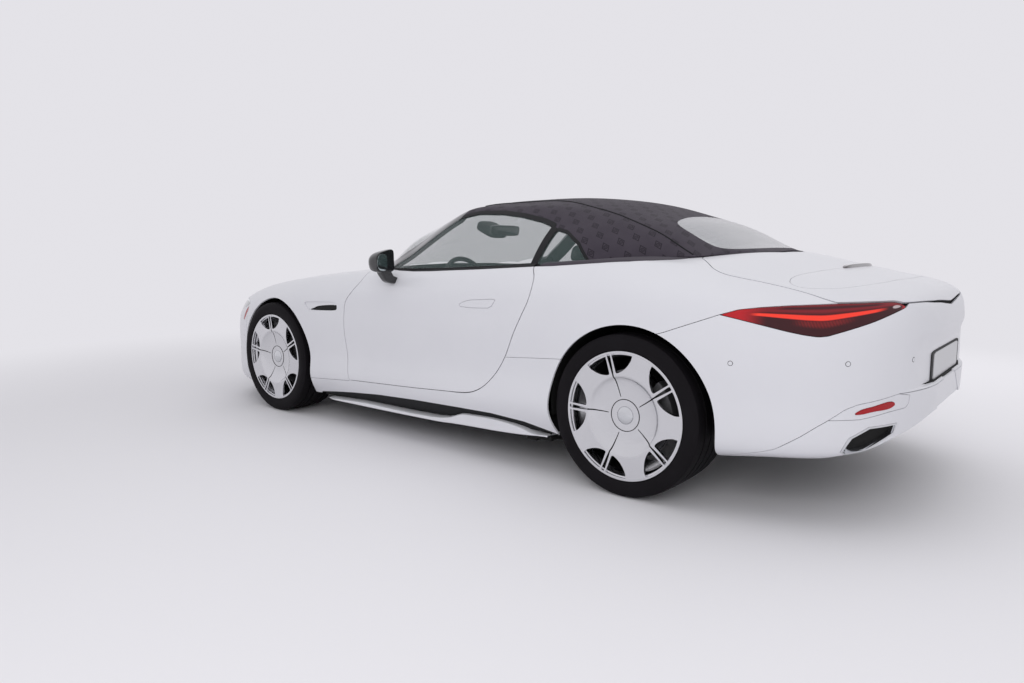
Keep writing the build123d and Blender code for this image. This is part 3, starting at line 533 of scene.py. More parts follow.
# Finishes whose colour and roughness follow one noise: two colours, the noise's scale and detail, the roughness's
# span and least value, the bump's strength and depth where there is one, and any further values of the shader.
plainLooks = {
    "gloss": ("glossBlack", (0.008, 0.008, 0.009), (0.014, 0.014, 0.016), (60.0, 3.0), (0.06, 0.12), None,
              {"coatWeight": 0.6, "coatRoughness": 0.05}),
    "dark": ("undersealBlack", (0.008, 0.008, 0.008), (0.022, 0.022, 0.022), (120.0, 4.0), (0.2, 0.7), (0.3, 0.001),
             {"specularIORLevel": 0.2}),
    "steel": ("greyCasting", (0.10, 0.10, 0.105), (0.2, 0.2, 0.205), (90.0, 5.0), (0.25, 0.4), (0.25, 0.0008),
              {"metallic": 0.7}),
    "bright": ("brightMetal", (0.62, 0.63, 0.65), (0.74, 0.75, 0.77), (25.0, 4.0), (0.08, 0.12), None,
               {"metallic": 1.0}),
    "plate": ("blankPlate", (0.50, 0.50, 0.52), (0.56, 0.56, 0.58), (30.0, 2.0), (0.1, 0.35), None,
              {"coatWeight": 0.3, "coatRoughness": 0.1}),
    "smoke": ("smokedLens", (0.012, 0.006, 0.008), (0.022, 0.008, 0.010), (40.0, 2.0), (0.05, 0.12), None,
              {"coatWeight": 1.0, "coatRoughness": 0.05}),
    "soft": ("softTrim", (0.020, 0.020, 0.022), (0.034, 0.034, 0.037), (520.0, 3.0), (0.15, 0.55), (0.25, 0.0005), {}),
    "mirrorGlass": ("mirrorGlass", (0.52, 0.58, 0.59), (0.58, 0.64, 0.65), (12.0, 2.0), (0.03, 0.03), None,
                    {"metallic": 1.0}),
    "disc": ("brakeDisc", (0.16, 0.16, 0.17), (0.30, 0.30, 0.31), (80.0, 5.0), (0.2, 0.3), None, {"metallic": 1.0}),
    "lining": ("roofLining", (0.030, 0.030, 0.032), (0.048, 0.048, 0.050), (600.0, 3.0), (0.1, 0.85), None, {}),
}


def makeFinishes():
    for key, (name, low, high, grain, (span, least), bump, sockets) in plainLooks.items():
        made = finishes[key] = Finish(name, **sockets)
        speck = made.noise(*grain)
        made.set(baseColor=made.mix(speck, low, high), roughness=speck * span + least)
        if bump:
            made.bump(speck, *bump)
    paint = finishes["paint"] = Finish("satinPaint", coatWeight=0.35, coatRoughness=0.22)
    flake, wave = paint.noise(900.0, 1.0), paint.noise(3.0)
    paint.set(baseColor=paint.mix(wave, (0.66, 0.66, 0.70), (0.70, 0.70, 0.735)), roughness=flake * 0.06 + 0.33)
    paint.bump(flake, 0.02, 0.0002)
    trim = finishes["trim"] = Finish("blackPlastic", specularIORLevel=0.14)
    grain = trim.noise(700.0, 3.0)
    trim.set(baseColor=trim.mix(trim.noise(5.0), (0.012, 0.012, 0.013), (0.020, 0.020, 0.022)),
             roughness=grain * 0.2 + 0.45)
    trim.bump(grain, 0.15, 0.0004)
    mesh = finishes["mesh"] = Finish("intakeMesh")
    x, _, z = mesh.where()
    cell = ((x * 420.0).sine() * (z * 420.0).sine()).ramp(-0.1, 0.3)
    mesh.set(baseColor=mesh.mix(cell, (0.030, 0.030, 0.032), (0.004, 0.004, 0.004)), roughness=cell * 0.3 + 0.4)
    mesh.bump(cell, 0.6, 0.003)
    flat = finishes["reflector"] = Finish("redReflector", coatWeight=0.25, coatRoughness=0.05, specularIORLevel=0.2)
    x, _, z = flat.where()
    prism = ((x * 1500.0).sine() * (z * 1500.0).sine()).ramp(-0.3, 0.6)
    flat.set(baseColor=flat.mix(prism, (0.28, 0.008, 0.012), (0.48, 0.014, 0.02)), roughness=prism * 0.1 + 0.18)
    hide = finishes["hide"] = Finish("seatHide", sheenWeight=0.1)
    pore = hide.node("ShaderNodeTexVoronoi", Vector=hide.place(), Scale=420.0)
    wear = hide.noise(6.0, 3.0)
    hide.set(baseColor=hide.mix(wear, (0.030, 0.030, 0.033), (0.048, 0.048, 0.052)), roughness=pore * 0.15 + 0.42)
    hide.bump(pore, 0.35, 0.0006)
    alloy = finishes["alloy"] = Finish("polishedAlloy", metallic=1.0)
    swirl, wide = alloy.noise(300.0), alloy.noise(6.0)
    alloy.set(baseColor=alloy.mix(wide, (0.66, 0.66, 0.68), (0.72, 0.72, 0.74)), roughness=swirl * 0.08 + 0.16)
    rubber = finishes["tyre"] = Finish("tyreRubber", specularIORLevel=0.08)
    grain, dust = rubber.noise(420.0, 4.0), rubber.noise(7.0, 3.0)
    rubber.set(baseColor=rubber.mix(dust, (0.006, 0.005, 0.006), (0.011, 0.010, 0.012)), roughness=grain * 0.15 + 0.55)
    rubber.bump(grain, 0.25, 0.0006)


makeFinishes()

# The body's outer surface.

# Half sections, front to rear: distance along the car, eight (x, z) points from the sill's lower
# edge up and over to the bonnet or boot, and the height on the centre line.
stations = [
    (-2348, (250, 330), (300, 345), (330, 420), (325, 500), (310, 548), (280, 580), (220, 594), (120, 602), 605),
    (-2320, (400, 178), (470, 205), (500, 380), (490, 520), (468, 588), (430, 628), (330, 650), (180, 662), 666),
    (-2270, (520, 130), (600, 168), (625, 365), (614, 535), (586, 612), (540, 660), (420, 692), (220, 712), 718),
    (-2190, (640, 118), (708, 160), (728, 362), (720, 545), (694, 632), (640, 688), (500, 728), (260, 757), 764),
    (-2070, (740, 118), (800, 165), (812, 370), (806, 565), (778, 655), (722, 720), (580, 765), (300, 803), 812),
    (-1890, (822, 125), (880, 185), (890, 380), (884, 588), (852, 684), (790, 756), (655, 798), (335, 846), 857),
    (-1680, (862, 140), (925, 225), (930, 400), (924, 605), (892, 722), (816, 806), (690, 836), (355, 880), 892),
    (-1393, (872, 150), (946, 245), (948, 400), (945, 625), (917, 762), (828, 856), (705, 874), (365, 908), 919),
    (-1000, (882, 165), (946, 282), (938, 430), (943, 660), (921, 812), (840, 900), (712, 908), (372, 942), 953),
    (-600, (892, 172), (950, 300), (937, 450), (942, 680), (926, 842), (856, 932), (722, 942), (382, 970), 980),
    (-100, (900, 181), (953, 310), (936, 465), (941, 700), (926, 862), (870, 948), (740, 972), (400, 985), 990),
    (400, (905, 192), (955, 320), (938, 475), (943, 715), (928, 878), (870, 972), (760, 990), (400, 1000), 1005),
    (800, (905, 204), (958, 330), (946, 490), (951, 730), (931, 902), (862, 994), (760, 1010), (400, 1025), 1030),
    (1306, (892, 215), (957, 300), (957, 500), (955, 720), (925, 905), (830, 1006), (720, 1030), (400, 1050), 1056),
    (1660, (862, 240), (930, 290), (940, 500), (935, 720), (896, 882), (792, 962), (690, 992), (380, 1038), 1052),
    (1860, (822, 260), (895, 300), (905, 500), (900, 710), (862, 852), (772, 920), (660, 953), (360, 996), 1008),
    (2060, (752, 275), (815, 310), (830, 500), (828, 700), (802, 802), (732, 876), (620, 916), (340, 954), 963),
    (2195, (642, 290), (702, 322), (718, 490), (716, 690), (696, 792), (642, 864), (540, 900), (300, 930), 937),
    (2270, (522, 310), (575, 342), (602, 490), (600, 690), (585, 790), (540, 856), (450, 884), (250, 908), 914),
    (2320, (400, 350), (430, 382), (465, 500), (460, 680), (445, 770), (402, 830), (330, 852), (180, 870), 874),
    (2348, (250, 420), (270, 442), (290, 520), (282, 640), (270, 700), (240, 740), (200, 752), (110, 760), 762),
]


def sections(table, ends, step, columns):
    # Every section is spread along the car by the length of its outline in plan, and each section is walked
    # by the square roots of its chords, so both directions stay smooth; the ends close on a point.
    y = np.array([r[0] for r in table], float)
    s = np.array([[*r[1:-1], (0, r[-1])] for r in table], float)
    if ends:
        tipRing, tipSizes = 0.15, (0.004, 0.6)
        for at in (0, -1):
            mid = np.array([0, s[at, :, 1].mean()])
            caps = np.array([mid + (s[at] - mid) * k for k in tipSizes])
            far = np.sign(y[at]) * np.array([layout["halfLength"], layout["halfLength"] - tipRing])
            s = np.concatenate([caps, s] if at == 0 else [s, caps[::-1]])
            y = np.concatenate([far, y] if at == 0 else [y, far[::-1]])
    n, k, _ = s.shape
    wide = s[:, :, 0].max(1)
    t = np.concatenate([[0], np.cumsum(np.hypot(np.diff(wide), np.diff(y)))])
    if ends:
        t += y[2] - t[2]
    tq = np.linspace(t[0], t[-1], int((t[-1] - t[0]) / step) + 1)
    wideRows = cubicThrough(t, np.column_stack([s.reshape(n, -1), y]), tq)
    yq = np.clip(wideRows[:, -1], y[0], y[-1])
    q = wideRows[:, :-1].reshape(-1, k, 2)
    q[:, :, 0] = np.maximum(q[:, :, 0], 0)
    ext = np.concatenate([q, np.stack([-q[:, -2, 0], q[:, -2, 1]], 1)[:, None]], axis=1)
    chord = np.sqrt(np.linalg.norm(np.diff(ext, axis=1), axis=2) + 1e-6)
    c = np.concatenate([np.zeros((len(q), 1)), np.cumsum(chord, axis=1)], axis=1)
    u = np.linspace(0, k - 1, columns)
    rows = [cubicThrough(ci, ei, np.interp(u, np.arange(k + 1), ci)) for ci, ei in zip(c, ext)]
    q = np.array(rows)
    q[:, -1, 0] = 0
    return tq, np.concatenate([q[:, :, :1], np.broadcast_to(yq[:, None, None], q[:, :, :1].shape), q[:, :, 1:]], axis=2)


def bothHalves(half):
    # half sections and their mirror image, joined on the centre line
    return np.concatenate([half, half[:, -2::-1] * [-1, 1, 1]], axis=1)


def wholeSheet(full, height, *extras):
    # columns x y z, the normal away from a height on the centre line, and the extra values: first, the
    # distance that outlines given from the side are measured along
    n = unit(np.cross(np.gradient(full, axis=0), np.gradient(full, axis=1)))
    out = np.sign((n * (full - [0, 0, height])).sum(-1).mean())
    cols = np.concatenate([full, n * out, *extras], axis=2)
    tris = gridTris(*full.shape[:2])
    return Sheet(cols.reshape(-1, cols.shape[2]), tris if out > 0 else tris[:, ::-1])


bodyT, bodyHalf = sections(stations, True, 16.0, 92)
bodyFull = bothHalves(bodyHalf)
bodyWhole = wholeSheet(bodyFull, 450, np.broadcast_to(bodyT[:, None, None], (*bodyFull.shape[:2], 1)))


def along(y):
    # the surface distance that belongs to a distance along the car
    return np.interp(y, bodyHalf[:, 0, 1], bodyT)


def inSide(points):
    # an outline given from the side, (y, z), moved on to the surface's own distance
    p = np.asarray(points, float).copy()
    p[:, 0] = along(p[:, 0])
    return p


def reach(sheet, kind):
    # the two columns that an outline is given in; "wheel" is a wheel's own plane
    return sheet.cols[:, {"side": [6, 2], "plan": [0, 1], "front": [0, 2], "wheel": [1, 2]}[kind]]


def fieldOf(sheet, kind, line, margin, far):
    # signed distance from an outline, worked out within the margin round it only
    pts = reach(sheet, kind)
    near = ((pts > line.min(0) - margin) & (pts < line.max(0) + margin)).all(1)
    value = np.full(len(pts), far)
    value[near] = lineField(pts[near], line)
    return value


def inside(sheet, kind, line, inset=0.0):
    # the part within an outline, drawn in by the inset
    return sheet.cut(fieldOf(sheet, kind, line, 20, 50.0 - inset) + inset)


def outside(sheet, kind, line, gap=0.0):
    # the part round an outline, drawn back by the gap
    return sheet.cut(gap - fieldOf(sheet, kind, line, 60, 50.0 + gap))


def clearOf(sheet, *lines):
    # the part round every one of some outlines, each (kind, line, gap)
    for line in lines:
        sheet = outside(sheet, *line)
    return sheet


def bandOf(sheet, kind, line, inset, gap):
    # the band between an outline's inset and its gap
    return outside(inside(sheet, kind, line, inset), kind, line, gap)


def beyond(sheet, axis, limit, sign=1.0):
    # keeps where sign * coordinate is more than sign * limit
    return sheet.cut(sign * (limit - sheet.cols[:, axis]))


def halfOf(sheet, sign):
    # the sheet's left (1) or right (-1) half
    return beyond(sheet, 0, 0, sign)


def offArch(sheet, end):
    # the wheel opening, whose middle is a little off the axle
    back, up, radius = layout["arch"][end]
    y0, z0 = layout[end + "Axle"] + back, layout["tyreRadius"][end] + up
    return sheet.cut(radius - np.hypot(sheet.p[:, 1] - y0, sheet.p[:, 2] - z0))


def mirrorLine(half):
    p = np.asarray(half, float)
    other = p[p[:, 0] > 0][::-1] * [-1, 1]
    return np.vstack([p, other])


def rounded(line, times=2, cut=0.22):
    # corners of a closed outline cut off and cut again
    p = np.asarray(line, float)
    for _ in range(times):
        q = np.roll(p, -1, axis=0)
        p = np.stack([p * (1 - cut) + q * cut, p * cut + q * (1 - cut)], 1).reshape(-1, 2)
    return p


def densed(line, step):
    # a closed outline with points no further apart than step, so that rounding stays near its corners
    out = []
    p = np.asarray(line, float)
    for a, b in zip(p, np.roll(p, -1, axis=0)):
        n = max(int(np.ceil(np.linalg.norm(b - a) / step)), 1)
        out.append(a + (b - a) * np.arange(n)[:, None] / n)
    return np.vstack(out)


# edges that two outlines share: the tail lamp's lower edge, and the upper edge of the reflector's insert
lampLower = [(1703, 817), (1768, 804), (1856, 785), (1948, 764), (2004, 753), (2050, 747), (2078, 751), (2138, 774),
             (2200, 801), (2246, 829), (2274, 850)]
insertUpper = [(2092, 437), (2140, 479), (2175, 497), (2232, 511), (2277, 527)]
outlines = {
    # side outlines (distance along the car, height) and plan outlines (across, along), all in millimetres
    "doorFront": [(-488, 960), (-500, 900), (-560, 830), (-618, 764), (-632, 690), (-634, 560), (-621, 483),
                  (-602, 341)],
    "doorSill": [(-590, 300), (-32, 323), (300, 341)],
    "doorRear": [(364, 346), (428, 360), (489, 390), (563, 459), (631, 554), (690, 674), (741, 767), (777, 835),
                 (791, 905), (785, 945), (756, 985), (748, 1040)],
    "bonnet": [(0, -815), (400, -760), (620, -640), (700, -560), (690, -1000), (680, -1400), (655, -1700),
               (620, -1900), (560, -2050), (480, -2150), (350, -2215), (200, -2240), (0, -2250)],
    "lid": [(0, 1663.5), (156, 1661.5), (446, 1543.5), (604, 1471.5), (624, 1488.5), (694, 1547.5), (757, 1604.5),
            (776, 1647.5), (778, 1690.5), (761, 1805.5), (748, 1902.5), (741, 1983.5), (738, 2037.5), (727, 2084.5),
            (650, 2181.5), (535, 2265.5), (344, 2313.5), (180, 2327.5), (0, 2333.5)],
    "flap": [(0, 1966), (213, 1957), (431, 1921), (560, 1890), (655, 1880), (706, 1900), (716, 1935), (690, 1985),
             (604, 2068), (416, 2146), (172, 2182), (0, 2188)],
    "head": [(-1800, 700), (-1880, 722), (-2048.5, 716), (-2268.5, 676), (-2298.5, 612), (-2208.5, 590),
             (-1950, 648)],
    "marker": [(-1862, 586), (-1852, 622), (-1826, 660), (-1798, 678), (-1787, 670), (-1806, 640), (-1828, 606),
               (-1846, 585)],
    "tail": [lampLower[0], (1771, 839), (1850, 850), (1938, 858), (2083, 866), (2186, 869), (2237, 870),
             (2258, 864), *lampLower[:0:-1]],
    "frontBumper": [(-4000, -900), (-1801.5, -900), (-1801.5, 560), (-1795, 640), (-1800, 700), (-1880, 715),
                    (-2108.5, 760), (-4000, 760)],
    "rearBumper": [(1320, -900), (1320, 695), (1400, 715), (1473, 732), (1554, 762), (1631, 790), *lampLower,
                   (2282, 905), (4000, 905), (4000, -900)],
    "tailUnder": [(2000, -900), (2000, 262), (2033, 268), (2118, 296), (2200, 318), (2263, 355), (2337, 411),
                  (2346, 420), (4000, 420), (4000, -900)],
    "haunch": [(200, 100), (200, 520), (560, 548), (619, 552), (780, 564), (940, 575), (1000, 577), (1000, 100)],
    "diffuser": [(1591.5, -900), (1591.5, 238), (1687, 243), (1795, 274), (1873, 296), (1928, 316), (2010, 372),
                 (2055, 409), *insertUpper, (4000, 528), (4000, -900)],
    "insert": [*insertUpper, (2302, 516), (2300, 484), (2293, 469), (2258, 462), (2182, 440)],
    "reflector": [(2166, 460), (2180, 474), (2215, 487), (2264, 499), (2270, 490), (2262, 478), (2215, 467),
                  (2182, 459)],
    "exhaust": [(2127, 312), (2153, 370), (2206, 410), (2276, 416), (2268, 374), (2200, 318), (2141, 301)],
    "sillUpper": [(-1000, -900), (-1028, 0), (-963, 175), (-786, 198), (-606, 217), (-350, 238), (-41, 251),
                  (274, 257), (531, 260), (742, 247), (926, 212), (960, 0), (960, -900)],
    "sillSkin": [(-1100, 150), (-1100, 264), (-988, 268), (-602, 295), (-590, 300), (-32, 323), (300, 341),
                 (300, 100)],
    "frontSeam": [(-1100, 260), (-988, 268), (-621, 294), (-602, 296), (-400, 312), (-400, -900), (-1100, -900)],
    "vent": [(-1043, 745), (-1000, 750), (-852, 757), (-750, 760), (-716, 754), (-701, 738), (-701, 720),
             (-712, 709), (-860, 701), (-992, 695), (-1026, 722)],
    "ventSlot": [(-992, 700), (-955, 712), (-913, 726), (-854, 734), (-740, 742), (-712, 738), (-703, 727),
                 (-706, 714), (-730, 708), (-860, 702)],
    "handle": [(323, 794), (345, 806), (372, 814), (404, 820), (482, 825), (539, 830), (571, 827), (560, 812),
               (548, 797), (522, 785), (403, 781), (331, 784)],
    "roofFoot": [(0, -812), (430, -700), (655, -550), (790, -383), (846, -238), (864, -100), (870, 32), (872, 354),
                 (871, 650), (866, 860), (858, 980), (846, 1100), (822, 1240), (780, 1340), (700, 1418),
                 (614, 1466), (481, 1548), (350, 1604), (153, 1648), (0, 1653)],
    "hemInner": [(0, -640), (730, -383), (800, -238), (812, -100), (815, 32), (816, 354), (811, 650), (783, 950),
                 (712, 1147), (653, 1316), (615, 1425), (420, 1500), (150, 1615), (0, 1621)],
}


def sideOutline(name, curve=0):
    line = outlines[name]
    return inSide(smoothLine(line, curve, closed=True) if curve else line)


def planOutline(name, straight=3):
    half = outlines[name]
    return mirrorLine(np.vstack([half[:straight], smoothLine(half[straight:], 4)]))


doorLine = inSide(np.vstack([smoothLine(outlines["doorFront"], 5), outlines["doorSill"],
                             smoothLine(outlines["doorRear"], 5), [(700, 1100), (-400, 1100)]]))
bonnetLine, lidLine = planOutline("bonnet"), planOutline("lid", 4)
flapLine = mirrorLine(smoothLine(outlines["flap"], 5))
roofFoot = mirrorLine(outlines["roofFoot"])
headLine, tailLine = sideOutline("head", 8), sideOutline("tail")
frontSide, rearSide, diffuserLine = sideOutline("frontBumper"), sideOutline("rearBumper"), sideOutline("diffuser")
insertLine, sillUpper, haunchLine = sideOutline("insert"), sideOutline("sillUpper"), sideOutline("haunch")
exhaustLine, underLine = rounded(densed(sideOutline("exhaust"), 12)), sideOutline("tailUnder")
wellBeyond = 4000
for line, ends in ((frontSide, (0, -1)), (rearSide, (-1, -2)), (diffuserLine, (-1, -2)), (underLine, (-1, -2))):
    for end in ends:
        line[end, 0] = math.copysign(wellBeyond, line[end, 0])
bay = {"depth": 24.0, "inner": 320.0, "outer": 572.0, "low": 529.5, "high": 760.0, "soft": 10.0, "fade": 90.0}
panel = {"wall": 9.0, "doorWall": 4.0, "seam": 1.2, "shut": 2.25, "lampGap": 5.5, "fine": 0.9, "lens": 0.8}
print("body surface made:", len(bodyWhole.cols), "points")


def eased(value):
    value = np.clip(value, 0, 1)
    return value * value * (3 - 2 * value)


def scored(sheet, kind, line, depths):
    # points added along the outline at each depth inside it, so that a fold there comes out clean
    for depth in depths:
        sheet = merged(joined(outside(sheet, kind, line, -depth), inside(sheet, kind, line, depth)))
    return sheet


def bayPressed(sheet):
    # the number plate's bay pressed into the bumper's middle, deepest between its inner ends
    outer, low, high, soft = bay["outer"], bay["low"], bay["high"], bay["soft"]
    line = np.array([(-outer, low), (outer, low), (outer, high), (-outer, high)], float)
    sheet = scored(sheet, "front", line, (0.0, soft * 0.3, soft * 0.7, soft))
    x, z = np.abs(sheet.p[:, 0]), sheet.p[:, 2]
    deep = eased((outer - x) / (outer - bay["inner"])) * eased((z - low) / soft) * eased((high - z) / bay["fade"])
    sheet.cols[:, 1] -= bay["depth"] * deep
    moved = (x < outer + 1) & (z > low - 1) & (z < high + 1)
    sheet.cols[moved, 3:6] = faceSums(sheet.p, sheet.tris)[moved]
    return sheet


def skinPiece(name, sheet, body, finish="paint", replaced=(), wall=panel["wall"]):
    piece = shell(name, sheet, wall, body, finish)
    if replaced:
        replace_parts(piece, *replaced)
    return piece


def finerAt(sheet, kind, line, reachOut=9.0, times=2):
    # a finer sheet beside an outline, so that its corners are kept
    return refined(sheet, lambda s: np.abs(fieldOf(s, kind, line, 30, np.inf)) < reachOut + 8, times)


def finerTip(sheet):
    # a finer sheet at the lamp's narrow front end
    return finerAt(sheet, "side", circleOn(1716.0, 819.0, 14.0), 22.0)


def ringOf(sheet, kind, line, gap, times=2):
    # the sheet split along an outline: what lies round it and what lies within it
    sheet = finerAt(sheet, kind, line, 9.0, times)
    return outside(sheet, kind, line, gap), inside(sheet, kind, line, gap)


def onSheet(sheet, xy, lift=0.0):
    # places on a sheet above plan points, from the nearest of its points
    xy = np.asarray(xy, float)
    low, high = xy.min(0) - 60, xy.max(0) + 60
    use = ((sheet.p[:, :2] > low) & (sheet.p[:, :2] < high)).all(1) & (sheet.n[:, 2] > 0.1)
    p, n = sheet.p[use], sheet.n[use]
    out = []
    for spots in np.array_split(xy, max(len(xy) // 64, 1)):
        far = np.linalg.norm(p[None, :, :2] - spots[:, None], axis=2)
        i = np.argpartition(far, 4, axis=1)[:, :4]
        w = 1 / (np.take_along_axis(far, i, 1) + 0.5)
        w /= w.sum(1, keepdims=True)
        face, place = (n[i] * w[..., None]).sum(1), (p[i] * w[..., None]).sum(1)
        z = place[:, 2] - ((spots - place[:, :2]) * face[:, :2]).sum(1) / np.maximum(face[:, 2], 0.2)
        out.append(np.column_stack([spots, z]) + face * lift)
    return np.vstack(out)


def circleOn(y, z, radius):
    # a round outline on the side, about a place
    return ringSection(radius, 24) + [along(y), z]


doorShape = {
    # lower edges of the skin and of the inner card; the slab's two pockets at the front: heights, half height, end
    "foot": 250, "cardFoot": 400, "cardInset": 34.0, "pockets": (430, 700), "pocketHalf": 26, "pocketEnd": -470,
    # how far each layer stands out from the body's surface, and its wall
    "handle": (0.6, 6.0), "slab": (-6.0, 44.0), "card": (-50.5, 9.0),
}


def makeDoors():
    # skin, flush handle, the slab's edges behind the skin, and the trimmed inner face
    skin = outside(inside(bodyWhole, "side", doorLine, panel["shut"]), "plan", roofFoot)
    skin = beyond(skin, 2, doorShape["foot"])
    skinOut, handle = ringOf(skin, "side", sideOutline("handle"), panel["fine"])
    height = skin.p[:, 2]
    pockets = np.minimum(*(np.abs(height - z) for z in doorShape["pockets"])) - doorShape["pocketHalf"]
    slab = skin.cut(np.where(skin.p[:, 1] < doorShape["pocketEnd"], -pockets, -50))
    card = inside(beyond(skin, 2, doorShape["cardFoot"]), "side", doorLine, doorShape["cardInset"])
    for name, sign in sides:
        body = "door_" + name[0]
        skinPiece("door_skin_" + name, halfOf(skinOut, sign), body, replaced=["door_" + name], wall=panel["doorWall"])
        for part, sheet, look, slot in (("handle", handle, "paint", "body_paint"),
                                        ("slab", slab, "paint", "body_paint"), ("card", card, "soft", "interior")):
            lift, wall = doorShape[part]
            skinPiece(f"door_{part}_{name}", halfOf(sheet, sign).moved(lift), body, look, wall=wall)


panelEnds = {
    # distances along the car that the front, the bonnet, the rear parts and the sill skins end at
    "nose": -440, "bonnet": -300, "rear": 280, "sill": 280,
    # heights that the bonnet and the lid stay above, and how far the quarters stay from the centre line
    "bonnetFoot": 500, "lidFoot": 780, "quarterInner": 560,
    # the wings' inner limit: distance from the centre line at two places along the car
    "wingAt": (-1750, -1450), "wingInner": (60, 600),
    # how far the set-back parts stand out from the surface, and their walls
    "ventBlade": -6.0, "ventSlot": -16.0, "sillBlade": -9.0, "thinWall": 4.0, "sillWall": 5.0,
}


def bodyPanels():
    g, shut, thin = panel["seam"], panel["shut"], panelEnds["thinWall"]
    makeDoors()
    # nose and wings
    nose = outside(beyond(bodyWhole, 1, panelEnds["nose"], -1.0), "plan", bonnetLine, shut)
    bumper = offArch(inside(nose, "side", frontSide, g), "front")
    wing = offArch(clearOf(nose, ("side", frontSide, g), ("side", headLine, g)), "front")
    wing = clearOf(wing, ("side", doorLine, shut), ("plan", roofFoot), ("side", inSide(outlines["frontSeam"]), g))
    limit = np.interp(wing.p[:, 1], panelEnds["wingAt"], panelEnds["wingInner"])
    wing = wing.cut(limit - np.abs(wing.p[:, 0]))
    wing, vent = ringOf(wing, "side", rounded(sideOutline("vent")), 0.0)
    blade = outside(vent, "side", rounded(sideOutline("ventSlot")))
    skinPiece("wing_skins", wing, "chassis", replaced=["front_wings"])
    skinPiece("vent_blades", blade.moved(panelEnds["ventBlade"]), "chassis", wall=thin)
    skinPiece("vent_slots", vent.moved(panelEnds["ventSlot"]), "chassis", "trim", wall=thin)
    makeNose(outside(bumper, "side", headLine, g))
    bonnet = inside(beyond(bodyWhole, 1, panelEnds["bonnet"], -1.0), "plan", bonnetLine, shut)
    skinPiece("bonnet_skin", beyond(bonnet, 2, panelEnds["bonnetFoot"]), "bonnet_panel", replaced=["bonnet"])
    # lid with its spoiler flap
    back = beyond(bodyWhole, 1, panelEnds["rear"])
    lid = beyond(inside(back, "plan", lidLine, shut), 2, panelEnds["lidFoot"])
    lid, flap = ringOf(outside(lid, "side", tailLine, panel["lampGap"]), "plan", flapLine, panel["fine"])
    skinPiece("lid_skin", lid, "lid_panel", replaced=["boot_lid"])
    skinPiece("lid_flap", flap, "lid_panel")
    # quarters, split by the fine seam in front of the wheel
    quarter = clearOf(finerTip(back), ("plan", lidLine, shut), ("side", tailLine, g), ("side", rearSide, g),
                      ("side", doorLine, shut))
    quarter = clearOf(offArch(quarter, "rear"), ("plan", roofFoot), ("side", sillUpper, g))
    quarter = quarter.cut(panelEnds["quarterInner"] - np.abs(quarter.p[:, 0]))
    skinPiece("quarter_skins", joined(*ringOf(quarter, "side", haunchLine, panel["fine"], 0)), "chassis",
              replaced=["rear_quarters"])
    # sills: the painted skin, the dark blade under it and the painted ledge below
    sill = offArch(beyond(bodyWhole, 1, panelEnds["sill"], -1.0), "front")
    sill = outside(inside(sill, "side", inSide(outlines["sillSkin"]), g), "side", sillUpper, g)
    blade = offArch(offArch(inside(bodyWhole, "side", sillUpper), "front"), "rear")
    skinPiece("sill_skins", sill, "chassis", replaced=["sill_covers"], wall=panelEnds["sillWall"])
    skinPiece("sill_blades", blade.moved(panelEnds["sillBlade"]), "chassis", "trim", wall=thin)
    makeLedges()
    makeTail()


ledge = {
    # distance along the car, height of the ledge's lower and upper edges
    "rows": [(-858, 150, 153), (-700, 150, 162), (-510, 151, 171), (-44, 154, 172), (174, 158, 182), (242, 162, 196),
             (318, 165, 221), (405, 168, 227), (558, 172, 229), (716, 180, 214), (790, 186, 196), (862, 188, 190)],
    "outer": 936.0, "inner": 806.0, "slope": 26.0, "endTaper": 90.0, "ends": (-860, 866), "tuck": 30.0,
}


def makeLedges():
    # a lofted strip on each side: section points run from the inner lower edge out and up to the blade
    y, low, high = smoothLine(ledge["rows"], 6).T
    (start, stop), taper = ledge["ends"], ledge["endTaper"]
    rise = eased((y - start) / taper) * eased((stop - y) / taper)
    tip = ledge["outer"] - ledge["tuck"] * (1 - rise)
    inner, slope = np.full_like(y, ledge["inner"]), tip - ledge["slope"]
    corners = [(inner, low - 4), (slope, low - 2), (tip - 5, low + 1), (tip, low + 5), (tip, high - 4), (tip - 4, high),
               (slope, high + 4), (inner, high + 4)]
    grid = np.stack([np.stack([x, y, z], 1) for x, z in corners], 1)
    for name, sign in sides:
        piece = loft("sill_ledge_" + name, grid * [sign, 1, 1], "chassis", "paint", angle=25.0)
        if name == "left":
            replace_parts(piece, "side_skirts")


